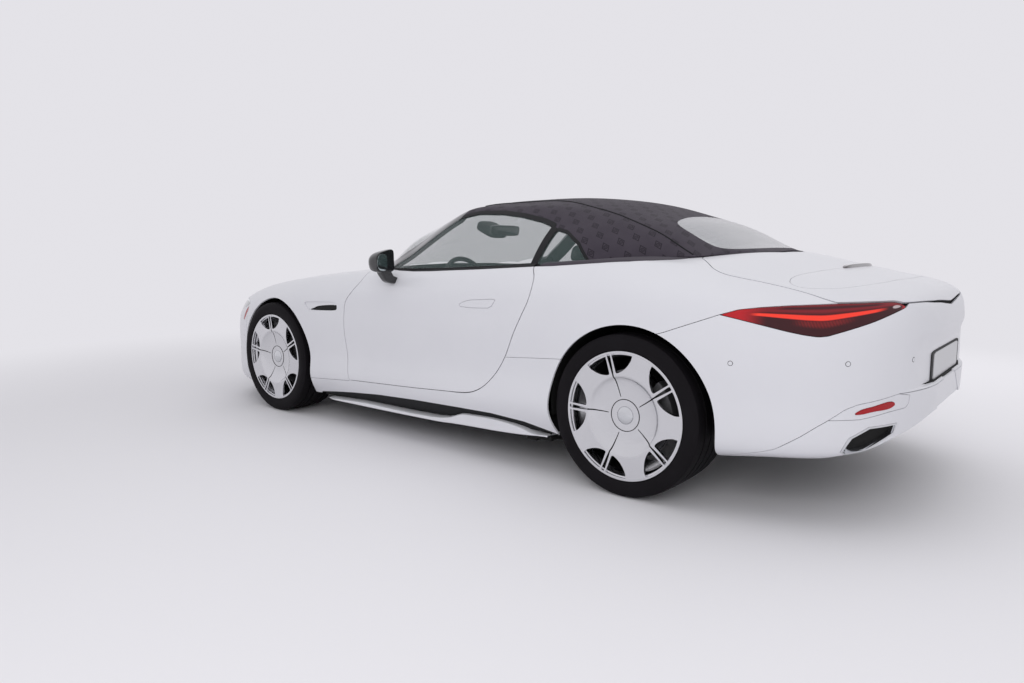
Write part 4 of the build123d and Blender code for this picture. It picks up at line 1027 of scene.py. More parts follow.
def makeNose(bumper):
    # painted bumper with its lower intake openings, and dark mesh panels behind them
    bumper, marker = ringOf(bumper, "side", smoothLine(sideOutline("marker"), 4, closed=True), panel["lens"])
    skinPiece("side_markers", marker.moved(-0.5), "chassis", "reflector", wall=7.0)
    apart = np.abs(bumper.p[:, 0]) - noseShape["middle"]
    side, middle = bumper.cut(-apart), bumper.cut(apart)
    frontHole = mirrorLine(noseShape["grille"])
    middle = ringOf(middle, "front", frontHole, 0.0, 1)[0]
    meshes = []
    for _, sign in sides:
        intake = np.array(noseShape["intake"], float) * [sign, 1]
        side, opening = ringOf(side, "front", rounded(densed(intake, 20)), 0.0, 1)
        meshes.append(opening)
    skinPiece("front_bumper_skin", joined(middle, side), "chassis", replaced=["front_bumper"])
    skinPiece("intake_meshes", joined(*meshes).moved(-noseShape["meshDepth"]), "chassis", "mesh", wall=4.0)
    rim = bandOf(beyond(bodyWhole, 1, noseShape["rimEnd"], -1.0), "front", frontHole, 0.5, -noseShape["rim"])
    rim = beyond(rim, 2, noseShape["rimTop"], -1.0)
    skinPiece("grille_frame", rim, "chassis", "bright", wall=10.0)
    # chin below the grille, between the lower ends of the bumper's two halves
    edge = noseShape["chinHalf"]
    x = np.linspace(-edge, edge, 49)
    top, low, face = (np.interp(np.abs(x), *zip(*noseShape[part])) for part in ("chinTop", "chinLow", "chinFace"))
    points = []
    for t in np.linspace(0, 1, 7):
        z = top + (low - top) * t
        under = np.maximum(0, noseShape["chinCurveFrom"] - z) / noseShape["chinCurveHeight"]
        points.append((x, face + noseShape["chinCurve"] * under ** 2, z))
    foot = points[-1][1]
    points += [(x, foot + back, low + rise) for back, rise in noseShape["chinFoot"]]
    points.append((x, face + 9, top))
    grid = np.stack([np.stack(p, 1) for p in points], 1)
    loft("front_chin", grid, "chassis", "paint", angle=35.0)


noseShape = {
    # openings seen from the front (x, z), half width of the middle part, the mesh's depth, the grille's rim
    "grille": [(0, 328), (236, 333), (268, 420), (246, 545), (0, 577)],
    "intake": [(420, 235), (640, 240), (700, 330), (690, 420), (560, 400), (430, 330)],
    "middle": 300, "meshDepth": 22.0, "rim": 7.0, "rimEnd": -2150, "rimTop": 640,
    # the chin: heights and face at distances from the centre line, its curve inwards, and its foot (back, rise)
    "chinHalf": 455, "chinTop": [(0, 322), (245, 320), (300, 288), (400, 190), (455, 160)],
    "chinLow": [(0, 190), (300, 180), (455, 150)],
    "chinFace": [(0, -2345), (200, -2344.5), (300, -2343), (400, -2335), (455, -2326)],
    "chinCurve": 18, "chinCurveFrom": 300, "chinCurveHeight": 124,
    "chinFoot": [(12, -7), (40, -10), (90, -8), (90, 0), (40, -1), (16, 4)],
}


def makeTail():
    g = panel["seam"]
    back = beyond(bodyWhole, 1, tailShape["from"])
    rear = clearOf(finerTip(back), ("plan", lidLine, panel["shut"]), ("side", tailLine, g))
    rear = bayPressed(offArch(inside(rear, "side", rearSide, g), "rear"))
    bumper = outside(rear, "side", diffuserLine, g)
    ringRadius, radius = tailShape["sensorRadii"]
    for name, inner, outer, lift, look, slot in (("sensor_rings", radius, ringRadius, 0.5, "trim", "black_trim"),
                                                 ("parking_sensors", 0.0, radius, 0.9, "paint", "body_paint")):
        parts = []
        for y, z in tailShape["sensors"]:
            patch = finerAt(inside(bumper, "side", circleOn(y, z, 40.0)), "side", circleOn(y, z, 9.0), 12.0, 3)
            patch = inside(patch, "side", circleOn(y, z, outer))
            parts.append(outside(patch, "side", circleOn(y, z, inner)) if inner else patch)
        skinPiece(name, joined(*parts).moved(lift), "chassis", look, wall=3.0)
    skinPiece("rear_bumper_skin", bumper, "chassis", replaced=["rear_bumper"])
    lower = outside(inside(rear, "side", diffuserLine, g), "side", underLine)
    lower = ringOf(lower, "side", exhaustLine, 0.0)[0]
    lower, insert = ringOf(lower, "side", insertLine, panel["lens"])
    skinPiece("diffuser_skin", lower, "chassis", replaced=["rear_diffuser"])
    reflectorLine = smoothLine(sideOutline("reflector"), 4, closed=True)
    insert, lens = ringOf(insert, "side", reflectorLine, 0.6, 1)
    skinPiece("reflector_inserts", insert.moved(-1.5), "chassis")
    skinPiece("rear_reflectors", lens.moved(0.5), "chassis", "reflector", wall=6.0)
    fine, rim = finerAt(back, "side", exhaustLine, 12.0), tailShape["exhaustRim"]
    ring = bandOf(fine, "side", exhaustLine, 0.5, -rim)
    skinPiece("exhaust_frames", ring.moved(1.0), "chassis", "bright", wall=26.0)
    hole = inside(fine, "side", exhaustLine, rim)
    skinPiece("exhaust_depths", hole.moved(-tailShape["exhaustDepth"]), "chassis", "dark", wall=3.0)
    # middle of the diffuser with the ledge and floor of the plate's bay, between the skins' two halves
    half = tailShape["middleHalf"]
    x = np.linspace(-half, half, 27)
    turn = np.interp(np.abs(x), [0, 200, half], [0, 0, -1.5])
    grid = np.stack([np.stack([x, y + turn, np.full(len(x), float(z))], 1) for y, z in tailShape["middle"]], 1)
    loft("tail_middle", grid, "chassis", "paint", angle=35.0)
    # painted shade: dark strips set behind the lid's gap and round the lamps, so that these gaps read as shaded
    for name, kind, line, wide in (("lid_gap_shade", "plan", lidLine, 34.0),
                                   ("lamp_gap_shade", "side", tailLine, 16.0)):
        band = bandOf(back, kind, line, -wide, -9.0)
        if kind == "plan":
            band = beyond(band, 2, panelEnds["lidFoot"])
        skinPiece(name, band.moved(-15.0), "chassis", "dark", wall=3.0)
    makePlate()


def makePlate():
    # a blank plate on its dark holder, and the low lamp across the lid
    for name, slot, look in (("plate_holder", "black_trim", "trim"), ("blank_plate", "bright", "plate")):
        half, tall, z, y = tailShape[name]
        line = rounded([(-half, z - tall), (half, z - tall), (half, z + tall), (-half, z + tall)], 3, 0.06)
        grid = [np.column_stack([line[:, 0], np.full(len(line), y - back), line[:, 1]])
                for back in (tailShape["plateWall"], 0.0)]
        loft(name, np.stack(grid), "chassis", look, angle=30.0)
    lamp = tailShape["brakeLamp"]
    x = np.linspace(-lamp["half"], lamp["half"], 41)
    base = onSheet(bodyWhole, np.stack([x, np.full(41, lamp["y"])], 1))
    taper = np.sqrt(np.clip(1 - (np.abs(x) / (lamp["half"] + 2)) ** 6, 0.05, 1))
    y, z = lamp["depth"] / 2 * taper, lamp["height"] * taper
    grid = np.stack([base + np.stack([x * 0, y * a, z * b - 3], 1) for a, b in lamp["section"]], 1)
    loft("brake_lamp_bar", grid, "lid_panel", "smoke")


tailShape = {
    "from": 1300, "sensors": [(1759, 634), (2141, 650), (2306, 650)], "sensorRadii": (10.0, 8.2),
    "exhaustRim": 7.0, "exhaustDepth": 24.0,
    # half width, half height, height of the middle, distance along the car
    "blank_plate": (262, 57, 592, 2330.0), "plate_holder": (300, 66, 592, 2327.0), "plateWall": 3.0,
    "brakeLamp": {"half": 225.0, "y": 1955.0, "depth": 26.0, "height": 15.0,
                  "section": [(-1, 0), (1, 0), (1, 0.7), (0.8, 1), (-0.8, 1), (-1, 0.7)]},
    "middleHalf": 262,
    "middle": [(2325, 422), (2335, 418.5), (2343, 422), (2346.5, 432), (2346.5, 518), (2344.5, 525), (2338, 528),
               (2326, 529), (2322, 534), (2322, 650), (2311, 650), (2311, 520), (2332, 512), (2332, 436)],
}
bodyPanels()
print("body panels made")

# Wheels.

wheelShape = {
    "phase": {"rear": -15.6, "front": -8.0},
    "flange": 283.5, "seat": 266.0, "inset": 5.0, "dish": 26.0, "dishEdge": 172.0, "hub": 72.0, "faceWall": 13.0,
    "window": (187.0, 272.5), "windowTurn": (3.9, 25.5), "cap": 40.0,
    # slits: inner and outer width, inner and outer radius
    "slits": ((3.2, 7.0, 80.0, 190.0), (8.0, 18.0, 187.0, 273.0)),
    "sidewall": ((1.4, 0.30), (0, 0.45), (0.4, 0.58), (2.2, 0.70), (2.6, 0.715), (5.5, 0.83), (11, 0.925)),
    # grooves at shares of the tread's half width, each by its corners (across, deep), and the tread's crown
    "grooves": (-0.66, -0.24, 0.24, 0.66), "groove": ((-5.5, 0), (-4.2, 7.0), (4.2, 7.0), (5.5, 0)), "crown": 2.6,
}


def wheelPlace(end, sign):
    return np.array([sign * layout["wheelX"][end], layout[end + "Axle"], layout["tyreRadius"][end]])


def placed(points, end, sign):
    # the left wheel turned half round for the right side, so that its face looks outwards
    return points * [sign, sign, 1] + wheelPlace(end, sign)


def faceDepth(r):
    # how far the face stands behind the rim's edge: a round dish inside, then a gentle outward crown
    edge = wheelShape["dishEdge"]
    dish = wheelShape["dish"] * np.sqrt(np.clip(1 - (np.minimum(r, edge) / edge) ** 2.6, 0, 1)) + 4
    crown = 4 - 4 * np.clip((r - edge) / (wheelShape["flange"] - edge), 0, 1) ** 2
    soft = eased((r - edge + 12) / 24)
    return dish * (1 - soft) + crown * soft


def polar(r, degrees):
    a = np.radians(degrees)
    return np.stack([r * np.sin(a), r * np.cos(a)], -1)


def windowLines(k):
    # two openings either side of a split spoke, in the wheel's plane
    inner, outer = wheelShape["window"]
    low, high = wheelShape["windowTurn"]
    lines = []
    for sign in (1, -1):
        outerArc = polar(outer, sign * np.linspace(low - 0.6, high, 9))
        side = polar(np.array([248, 224, 206, 194]), sign * np.array([24.9, 22.0, 18.2, 13.4]))
        innerArc = polar(np.array([inner, inner]), sign * np.array([8.2, low + 1.0]))
        lines.append(rounded(densed(np.vstack([outerArc, side, innerArc]), 12), 1, 0.25) @ rotation(72 * k))
    return lines


def rotation(degrees):
    a = math.radians(degrees)
    return np.array([[math.cos(a), -math.sin(a)], [math.sin(a), math.cos(a)]])


def slitLine(k, width0, width1, r0, r1):
    p = np.array([[-width0 / 2, r0], [width0 / 2, r0], [width1 / 2, r1], [-width1 / 2, r1]])
    return p @ rotation(72 * k)


def wheelFace(out, spin):
    # a polar grid, dished, with its windows and slits cut out
    count, rings = 240, 44
    turn = roundTurn(count)[:, None]
    r = np.concatenate([np.linspace(0.01, 60, 8), np.linspace(66, 276, rings - 8)])
    grid = [np.broadcast_to(out - faceDepth(r), (count, rings)), r * np.sin(turn), r * np.cos(turn)]
    slope = np.gradient(-faceDepth(r), r)
    n = unit(np.stack([np.ones((count, rings)), -slope * np.sin(turn), -slope * np.cos(turn)], -1))
    cols = np.concatenate([np.stack(grid, -1), n], -1).reshape(-1, 6)
    sheet = Sheet(cols, gridTris(count, rings, closeU=True))
    sheet = sheet.cut(wheelShape["cap"] - 4 - np.hypot(sheet.p[:, 1], sheet.p[:, 2]))
    for k in range(5):
        for line in windowLines(k) + [slitLine(k, *slit) for slit in wheelShape["slits"]]:
            sheet = outside(sheet, "wheel", line @ spin)
    return sheet


def makeWheel(end, sideName, sign):
    body = f"wheel_{end}_{sideName}"
    half = layout["tyreWidth"][end] / 2
    out = half - wheelShape["inset"]
    radius = layout["tyreRadius"][end]
    flange, seat, cap, hub = (wheelShape[part] for part in ("flange", "seat", "cap", "hub"))

    def lathe(stem, profile, count, look, angle=35.0):
        # a profile carried round this wheel's axle
        pts, tris = turned(profile, count)
        return solid(f"{stem}_{end}_{sideName}", placed(pts, end, sign), tris, body, look, angle)

    sheet = wheelFace(out, rotation(wheelShape["phase"][end] * sign))
    sheet.cols[:, :3] = placed(sheet.p, end, sign)
    sheet.cols[:, 3:6] *= [sign, sign, 1]
    face = shell(f"wheel_face_{end}_{sideName}", sheet, wheelShape["faceWall"], body, "alloy")
    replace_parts(face, f"rim_{end}_{sideName}")
    # dark backing just behind the slits, then barrel and flange
    lathe("wheel_back", [(out - 34, 60), (out - 31, 150), (out - 24, 186), (out - 20, 190), (out - 22, 176),
                         (out - 46, 150), (out - 50, 60)], 120, "dark")
    lathe("wheel_barrel", [(out - 14, 272), (out - 1.5, 273.5), (out, 275), (out, flange - 1.5), (out - 1.5, flange),
                           (out - 9, flange), (out - 13, seat), (-out + 13, seat), (-out + 9, flange), (-out, flange),
                           (-out, 268), (-out + 20, 257), (out - 60, 252), (out - 30, 258)], 180, "alloy")
    # cap, its ring, and the hub behind the face
    depth = out - faceDepth(np.array([0.01]))[0]
    dome = [(depth + 14 * math.cos(a), cap * math.sin(a)) for a in np.linspace(0.02, math.pi / 2, 14)]
    lathe("wheel_cap", [(depth - 16, 0.3), (depth + 14, 0.3), *dome, (depth - 16, cap)], 96, "bright", 50)
    lathe("wheel_ring", [(depth + 2.2, 68), (depth + 3.2, 69), (depth + 3.2, 70.5), (depth + 2.2, 71.5),
                         (depth - 3, 71.5), (depth - 3, 68)], 120, "trim")
    lathe("wheel_hub", [(out - 34, 31), (out - 34, hub), (out - 72, hub), (out - 72, 31)], 72, "steel")
    # tyre: sidewall given by steps in from the tread's edge at shares of the wall, and tread with its grooves
    wall = radius - flange
    side = [(half - 17.5, flange - 6), (half - 13, flange + 1.5), (half - 6.5, flange + 4), (half - 4.0, flange + 9),
            (half - 3.0, flange + 12)]
    side += [(half - step, flange + wall * share) for step, share in wheelShape["sidewall"]]
    side.append((half - 19, radius - 3.2))
    tread = [(g * (half - 24) + across, deep) for g in wheelShape["grooves"] for across, deep in wheelShape["groove"]]
    tread = [(x, radius - wheelShape["crown"] * (abs(x) / half) ** 2 - deep) for x, deep in tread]
    profile = side + tread[::-1] + [(-x, z) for x, z in reversed(side)]
    profile += [(-half + 30, flange - 2), (-half + 34, radius - 16), (half - 34, radius - 16), (half - 30, flange - 2)]
    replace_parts(lathe("tyre_skin", profile, 150, "tyre", 28), f"tyre_{end}_{sideName}")


for end in ("front", "rear"):
    for sideName, sign in sides:
        makeWheel(end, sideName, sign)
print("wheels made")

# Roof, glass and trim.

# Half sections above the belt: distance along the car, foot, side, rail, shoulder and crown (x, z), centre height.
roofStations = [
    (-780, (150, 960), (148, 962), (140, 966), (110, 978), (60, 984), 986),
    (-700, (430, 962), (427, 967), (420, 974), (300, 1010), (160, 1037), 1046),
    (-550, (655, 963), (650, 971), (640, 982), (480, 1064), (250, 1118), 1130),
    (-383, (790, 960), (775, 972), (752, 990), (580, 1126), (300, 1196), 1214),
    (-238, (830, 958), (775, 1015), (705, 1081), (560, 1188), (300, 1258), 1278),
    (-100, (845, 960), (765, 1070), (655, 1181), (530, 1252), (275, 1305), 1320),
    (32, (848, 962), (760, 1110), (612, 1262), (505, 1296), (265, 1331), 1342),
    (354, (850, 975), (750, 1130), (589, 1280), (480, 1312), (260, 1346), 1356),
    (650, (845, 988), (745, 1130), (583, 1270), (475, 1304), (255, 1338), 1348),
    (950, (815, 1005), (735, 1115), (588, 1218), (480, 1256), (260, 1293), 1305),
    (1147, (743, 1024), (700, 1085), (608, 1162), (500, 1202), (265, 1237), 1248),
    (1316, (683, 1034), (665, 1062), (606, 1110), (500, 1148), (270, 1183), 1194),
    (1441, (646, 1036), (628, 1046), (583, 1064), (490, 1089), (275, 1120), 1129),
    (1533, (440, 1046), (430, 1050), (412, 1057), (350, 1069), (200, 1081), 1086),
    (1652, (153, 1050), (149, 1052), (143, 1054), (110, 1056), (55, 1058), 1059),
]


def roofSheet():
    # the seventh column is the distance along the car here, and the cloth's two lengths in metres follow it
    full = bothHalves(sections(roofStations, False, 17.0, 62)[1])
    step = np.linalg.norm(np.diff(full, axis=1), axis=2)
    across = np.concatenate([np.zeros((len(full), 1)), np.cumsum(step, axis=1)], axis=1)
    across -= across[:, across.shape[1] // 2][:, None]
    y = full[..., 1:2]
    return wholeSheet(full, 700, y, across[..., None] * mm, y * mm)


windowLine = np.array([(-368, 930), (-298, 1020), (-208, 1096), (-68, 1182), (72, 1241), (191, 1262), (351, 1256),
                       (501, 1237), (651, 1206), (730, 1181), (706, 965), (700, 900), (-368, 900)], float)
quarterLine = np.array([(735, 940), (737, 975), (769, 1164), (833, 1149), (930, 1093), (1013, 1008),
                        (1024, 940)], float)
screenLine = mirrorLine([(0, -808), (420, -718), (620, -578), (722, -396), (580, 16), (300, -54), (0, -78)])
frameLine = mirrorLine([(0, -848), (440, -768), (700, -608), (812, -423), (655, 66), (600, 69), (300, -9), (0, -37)])
rearGlassLine = rounded(mirrorLine([(0, 1206), (230, 1214), (395, 1238), (452, 1300), (470, 1400), (466, 1482),
                                    (380, 1530), (250, 1566), (0, 1588)]), 2)


def carry(name, path, up, section, body, finish, closed=False, angle=40.0):
    # a closed section (across, up) carried along a path: at each point across = travel x up
    p = np.asarray(path, float)
    travel = unit(np.gradient(p, axis=0))
    across = unit(np.cross(travel, up))
    lift = np.cross(across, travel)
    q = np.asarray(section, float)
    grid = p[:, None] + across[:, None] * q[None, :, :1] + lift[:, None] * q[None, :, 1:]
    return loft(name, grid, body, finish, closed, angle)


def glassFinishes():
    for name, colour, alpha in (("glass", (0.10, 0.155, 0.15), 0.19), ("backGlass", (0.42, 0.43, 0.45), 0.72)):
        made = finishes[name] = Finish(name, alpha=alpha, coatWeight=1.0, coatRoughness=0.02)
        film = made.noise(2.5, 2.0)
        base = made.mix(film, colour, tuple(c * 1.12 for c in colour))
        if name == "backGlass":
            _, y, _ = made.where()
            wires = (y * 2 * math.pi / 0.030).sine().ramp(0.975, 1.0)
            base = made.mix(wires * 0.5, base, (0.12, 0.12, 0.12))
        made.set(baseColor=base, roughness=film * 0.03 + 0.03)
        made.made.surface_render_method = "BLENDED"
    cloth = finishes["cloth"] = Finish("roofCloth", sheenWeight=0.08, sheenRoughness=0.5, specularIORLevel=0.15)
    u, v = cloth.uv()
    warp = (u * (2 * math.pi / 0.0022)).sine()
    weft = (v * (2 * math.pi / 0.0022)).sine()
    # lozenges and small rings on a turned lattice, woven in a darker thread
    a, b = (u + v) / 0.112, (u - v) / 0.112
    da, db = a.wrap(1.0) - 0.5, b.wrap(1.0) - 0.5
    far = (da * da + db * db).power(0.5)
    lozenge = da.size() + db.size() * 0.7
    line = (lozenge - 0.22).size().ramp(0.050, 0.028) + (far - 0.10).size().ramp(0.040, 0.020)
    line = line + lozenge.ramp(0.045, 0.025)
    cloudy = cloth.noise(14.0, 4.0)
    fibre = cloth.noise(1400.0, 2.0)
    ground = cloth.mix(cloudy, (0.042, 0.035, 0.047), (0.060, 0.051, 0.066))
    ground = cloth.mix(line.clipped() * 0.75, ground, (0.016, 0.013, 0.018))
    cloth.set(baseColor=ground, roughness=fibre * 0.1 + 0.85)
    cloth.bump(warp * weft + fibre * 0.6, 0.25, 0.0004)


roofShape = {
    # heights that the roof's pieces stay above, and distances along the car that they end at
    "foot": 930, "frameEnds": (-470, 90), "glassEnds": (-400, 760), "clothFrom": -40,
    "clothFoot": 1000, "clothFootTo": 700, "gap": 0.5, "clothOffWindow": 17.0, "clothOffQuarter": 9.0,
    "liningDrop": 14.0, "frameWall": 26.0, "screenWall": 5.0, "sideWall": 4.5, "clothWall": 4.0,
    "post": [(703, 955), (738, 955), (771, 1168), (728, 1182)],
    # where the door's lengths end and the body's begin, below the windows
    "doorEnd": 780, "rearStart": 786, "beltEnd": 1040, "hemDoorEnd": 782, "hemFrom": -300, "hemFoot": 880,
    "ledges": (("door", -330, 772), ("rear", 794, 1400)), "ledgeIn": (36.0, 0, 30.0),
    # the two side seams in plan
    "seam": [(452, 70), (425, 250), (408, 400), (405, 520), (426, 640), (484, 820), (518, 979), (556, 1125),
             (590, 1276), (614, 1380), (628, 1446)],
    # the belt line below glass and cloth (across, height, along), and the strip's section on it
    "belt": [(790, 963, -383), (832, 961, -238), (847, 962, -100), (850, 965, 32), (852, 978, 354), (847, 991, 650),
             (830, 1001, 860), (816, 1009, 950), (745, 1028, 1147), (685, 1038, 1316), (650, 1040, 1420),
             (600, 1044, 1466), (520, 1049, 1506), (442, 1052, 1541), (290, 1055, 1601), (153, 1056, 1661),
             (0, 1058, 1668)],
    "strip": [(-7, -5), (6, -5), (6, 2), (3, 6), (-3, 6), (-7, 3)],
}


def makeRoof():
    whole, gap = roofSheet(), roofShape["gap"]
    above = beyond(whole, 2, roofShape["foot"])

    def pane(name, sheet, wall, replaced, body="chassis", look="glass"):
        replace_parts(shell(name, sheet, wall, body, look), replaced)

    pane("windscreen_glass", inside(above, "plan", screenLine, gap), roofShape["screenWall"], "windscreen")
    frameSheet = outside(inside(above, "plan", frameLine, gap), "plan", screenLine, gap)
    front, rear = roofShape["frameEnds"]
    frameSheet = beyond(beyond(frameSheet, 1, rear, -1.0), 1, front)
    piece = shell("windscreen_frame_trim", frameSheet, roofShape["frameWall"], "chassis", "gloss")
    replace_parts(piece, "windscreen_frame")
    rest = outside(above, "plan", frameLine, gap)
    front, rear = roofShape["glassEnds"]
    glass = inside(beyond(beyond(rest, 1, rear, -1.0), 1, front), "side", windowLine)
    for sideName, sign in sides:
        pane("door_glass_pane_" + sideName, halfOf(glass, sign), roofShape["sideWall"], "door_glass_" + sideName,
             "door_" + sideName[0])
    pane("quarter_panes", inside(rest, "side", quarterLine), roofShape["sideWall"], "quarter_windows")
    pane("rear_pane", inside(rest, "plan", rearGlassLine, gap), roofShape["screenWall"], "rear_window",
         look="backGlass")
    # cloth: everything behind the windscreen frame and above the windows' seals
    cloth = clearOf(beyond(rest, 1, roofShape["clothFrom"]), ("side", windowLine, roofShape["clothOffWindow"]),
                    ("side", quarterLine, roofShape["clothOffQuarter"]), ("plan", rearGlassLine, gap))
    low = roofShape["clothFoot"] - cloth.p[:, 2]
    cloth = cloth.cut(np.where(cloth.p[:, 1] < roofShape["clothFootTo"], low, -50))
    area = 0.5 * np.linalg.norm(crosses(cloth.p, cloth.tris), axis=1).sum() * 1e-6
    piece = shell("soft_top_cloth", cloth, roofShape["clothWall"], "chassis", "cloth", [7, 8])
    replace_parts(piece, "soft_top")
    print("cloth area", round(area, 2))
    shell("roof_lining", cloth.moved(-roofShape["liningDrop"]), 3.0, "chassis", "lining")
    # seals: a band above the side windows, the quarter panes' edge, and the post between the panes
    upward = (0, 0, 1)
    seals = []
    for line, wide, low, front in ((windowLine, 17.0, 975, -330), (quarterLine, 9.0, 1000, 745)):
        band = bandOf(rest, "side", line, -wide, -3.0)
        seals.append(beyond(beyond(band, 2, low), 1, front).moved(1.5))
    shell("window_seals", joined(*seals), 9.0, "chassis", "trim")
    bar = inside(rest, "side", np.array(roofShape["post"], float))
    shell("window_posts", bar.moved(2.5), 14.0, "chassis", "trim")
    # welts of the two side seams
    seam = smoothLine(roofShape["seam"], 6)
    for sideName, sign in sides:
        path = onSheet(whole, seam * [sign, 1], 1.0)
        carry("roof_seam_" + sideName, path, upward, ringSection(3.2), "chassis", "trim")
    # hem and belt strip below glass and cloth, in two lengths each side: on the door and on the body
    path = smoothLine(np.array(roofShape["belt"], float)[:, [0, 2, 1]], 6)
    strip = np.array(roofShape["strip"], float)
    hem = inside(beyond(bodyWhole, 1, roofShape["hemFrom"]), "plan", roofFoot, gap)
    hem = beyond(outside(hem, "plan", mirrorLine(outlines["hemInner"])), 2, roofShape["hemFoot"])
    hem = outside(hem, "plan", lidLine, 3.0).moved(2.0)
    doorHem = inside(beyond(hem, 1, roofShape["hemDoorEnd"], -1.0), "side", doorLine, panel["shut"])
    shell("roof_hem", beyond(hem, 1, roofShape["rearStart"]), 5.0, "chassis", "cloth")
    ledgeSection = rounded([(-24, -22), (24, -22), (24, 22), (-24, 22)], 2, 0.2)
    for sideName, sign in sides:
        body = "door_" + sideName[0]
        here = path * [sign, 1, 1]
        y = here[:, 1]
        shell("door_hem_" + sideName, halfOf(doorHem, sign), 5.0, body, "trim")
        carry("belt_strip_door_" + sideName, here[y < roofShape["doorEnd"]], upward, strip, body, "trim")
        rear = here[(y > roofShape["rearStart"]) & (y < roofShape["beltEnd"])]
        carry("belt_strip_rear_" + sideName, rear, upward, strip * 0.5, "chassis", "trim")
        # the trimmed ledge inside the glass
        inward = np.array(roofShape["ledgeIn"]) * [sign, 1, 1]
        for part, low, high in roofShape["ledges"]:
            run = here[(y > low) & (y < high)] - inward
            carry(f"belt_ledge_{part}_{sideName}", run, upward, ledgeSection, body if part == "door" else "chassis",
                  "soft")


glassFinishes()
makeRoof()
print("roof and glass made")

# Cabin: padded seats, the dashboard's pad and screens, and the shelf behind the seats.

cabin = {
    # middle (x, y, z), half sizes, lean about the X axis in degrees, squareness, crown, side bolsters
    "cushion": ((372.0, 286.0, 392.0), (216.0, 236.0, 54.0), 3.0, 5.0, 12.0, 16.0),
    "back": ((372.0, 603.0, 712.0), (214.0, 256.0, 38.0), 70.5, 4.5, 9.0, 13.0),
    "head": ((372.0, 701.0, 1044.0), (104.0, 48.0, 30.0), 76.0, 3.2, 6.0, 0.0),
    "channels": {"cushion": 5, "back": 6, "head": 0}, "channelDepth": 5.0, "channelWidth": 5.5,
    "shell": [(62, 176), (470, 176), (560, 420), (735, 950), (690, 962), (548, 560), (470, 372), (80, 340)],
    "shelf": [(795, 170), (1086, 170), (1086, 836), (1034, 838), (1010, 820), (952, 442), (795, 420)],
    "dash": [(-742, 700), (-742, 868), (-700, 880), (-600, 884), (-520, 868), (-486, 830), (-478, 780), (-492, 700),
             (-520, 640), (-700, 640)],
    "dashHalf": 684.0, "binnacle": (370.0, 130.0, 26.0),
    # round vents at the ends of the dashboard: place, radius
    "vents": ((560.0, -482.0, 790.0), 38.0), "shellSpan": (168.0, 576.0), "shelfSpan": (186.0, 536.0),
    "postsAt": (340.0, 404.0),
    "screens": {"driver_display": ((370.0, -474.0, 838.0), (150.0, 6.0, 46.0), -12.0, 9.0, 0.0, 0.0),
                "centre_screen": ((0.0, -462.0, 762.0), (112.0, 8.0, 130.0), -18.0, 9.0, 0.0, 0.0)},
}


def cubeGrid(n):
    # the six faces of a cube as one closed grid of points between -1 and 1
    s = np.linspace(-1, 1, n)
    u, v = np.meshgrid(s, s, indexing="ij")
    one = np.ones_like(u)
    faces = [np.stack(f, -1) for f in ((u, v, one), (v, u, -one), (one, u, v), (-one, v, u), (v, one, u), (u, -one, v))]
    points = np.concatenate([f.reshape(-1, 3) for f in faces])
    tris = np.concatenate([gridTris(n, n) + k * n * n for k in range(6)])
    return merged(Sheet(np.hstack([points, points]), tris))


def pillow(name, facts, channels, finish, mirror=1, grid=29):
    # a closed crowned form: a rounded block, drawn in at its sewn channels and raised at its side bolsters
    middle, half, lean, square, crown, bolster = facts
    cube = cubeGrid(grid)
    p = cube.p / np.maximum((np.abs(cube.p) ** square).sum(1, keepdims=True) ** (1 / square), 1e-9)
    top = eased((p[:, 2] + 0.1) / 0.9)
    lift = crown * (1 - p[:, 0] ** 2) * (1 - p[:, 1] ** 2) * np.sign(p[:, 2])
    side = eased((np.abs(p[:, 0]) - 0.52) / 0.34)
    q = p * half
    q[:, 2] += lift + bolster * side * top
    if channels:
        inner = half[0] * 0.98 * 0.56
        across = np.abs(((q[:, 0] + inner) / (2 * inner) * channels + 0.5) % 1 - 0.5) * 2 * inner / channels
        within = eased((inner + 8 - np.abs(q[:, 0])) / 10)
        q[:, 2] -= cabin["channelDepth"] * np.exp(-(across / cabin["channelWidth"]) ** 2) * top * within
        q[:, 2] -= 1.6 * cabin["channelDepth"] * np.exp(-((np.abs(p[:, 0]) - 0.56) * half[0] / 6) ** 2) * top
    a = math.radians(lean)
    turn = np.array([[1, 0, 0], [0, math.cos(a), math.sin(a)], [0, -math.sin(a), math.cos(a)]])
    q = (q @ turn + middle) * [mirror, 1, 1]
    tris = cube.tris if mirror > 0 else cube.tris[:, ::-1]
    return solid(name, q, tris, "chassis", finish, 60.0)


def prismX(name, line, span, sign, soft):
    # a side outline carried across the car on one side, with softened ends
    x0, x1 = sorted(sign * x for x in span)
    p = rounded(densed(line, 60), 2, 0.2)
    middle = p.mean(0)
    rows = []
    away = p - middle
    size = np.linalg.norm(away, axis=1, keepdims=True)
    for x, inset in ((x0, soft), (x0 + soft * 0.3, soft * 0.3), (x0 + soft, 0),
                     (x1 - soft, 0), (x1 - soft * 0.3, soft * 0.3), (x1, soft)):
        q = middle + away * (1 - inset / np.maximum(size, 1))
        rows.append(np.column_stack([np.full(len(q), x), q]))
    return loft(name, np.stack(rows), "chassis", "soft")


def makeSeats():
    for name, sign in sides:
        piece = prismX("seat_shell_" + name, cabin["shell"], cabin["shellSpan"], sign, 14.0)
        if name == "left":
            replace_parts(piece, "seats")
        for part in ("cushion", "back", "head"):
            pad = pillow(f"seat_{part}_{name}", cabin[part], cabin["channels"][part], "hide", sign)
        for x in cabin["postsAt"]:
            path = [(sign * x, 690, 958), (sign * x, 703, 1010)]
            carry(f"headrest_post_{name}_{int(x)}", path, (1, 0, 0), ringSection(6.0, 12), "chassis",
                  "bright")
    for name, sign in sides:
        prismX("rear_shelf_" + name, cabin["shelf"], cabin["shelfSpan"], sign, 10.0)


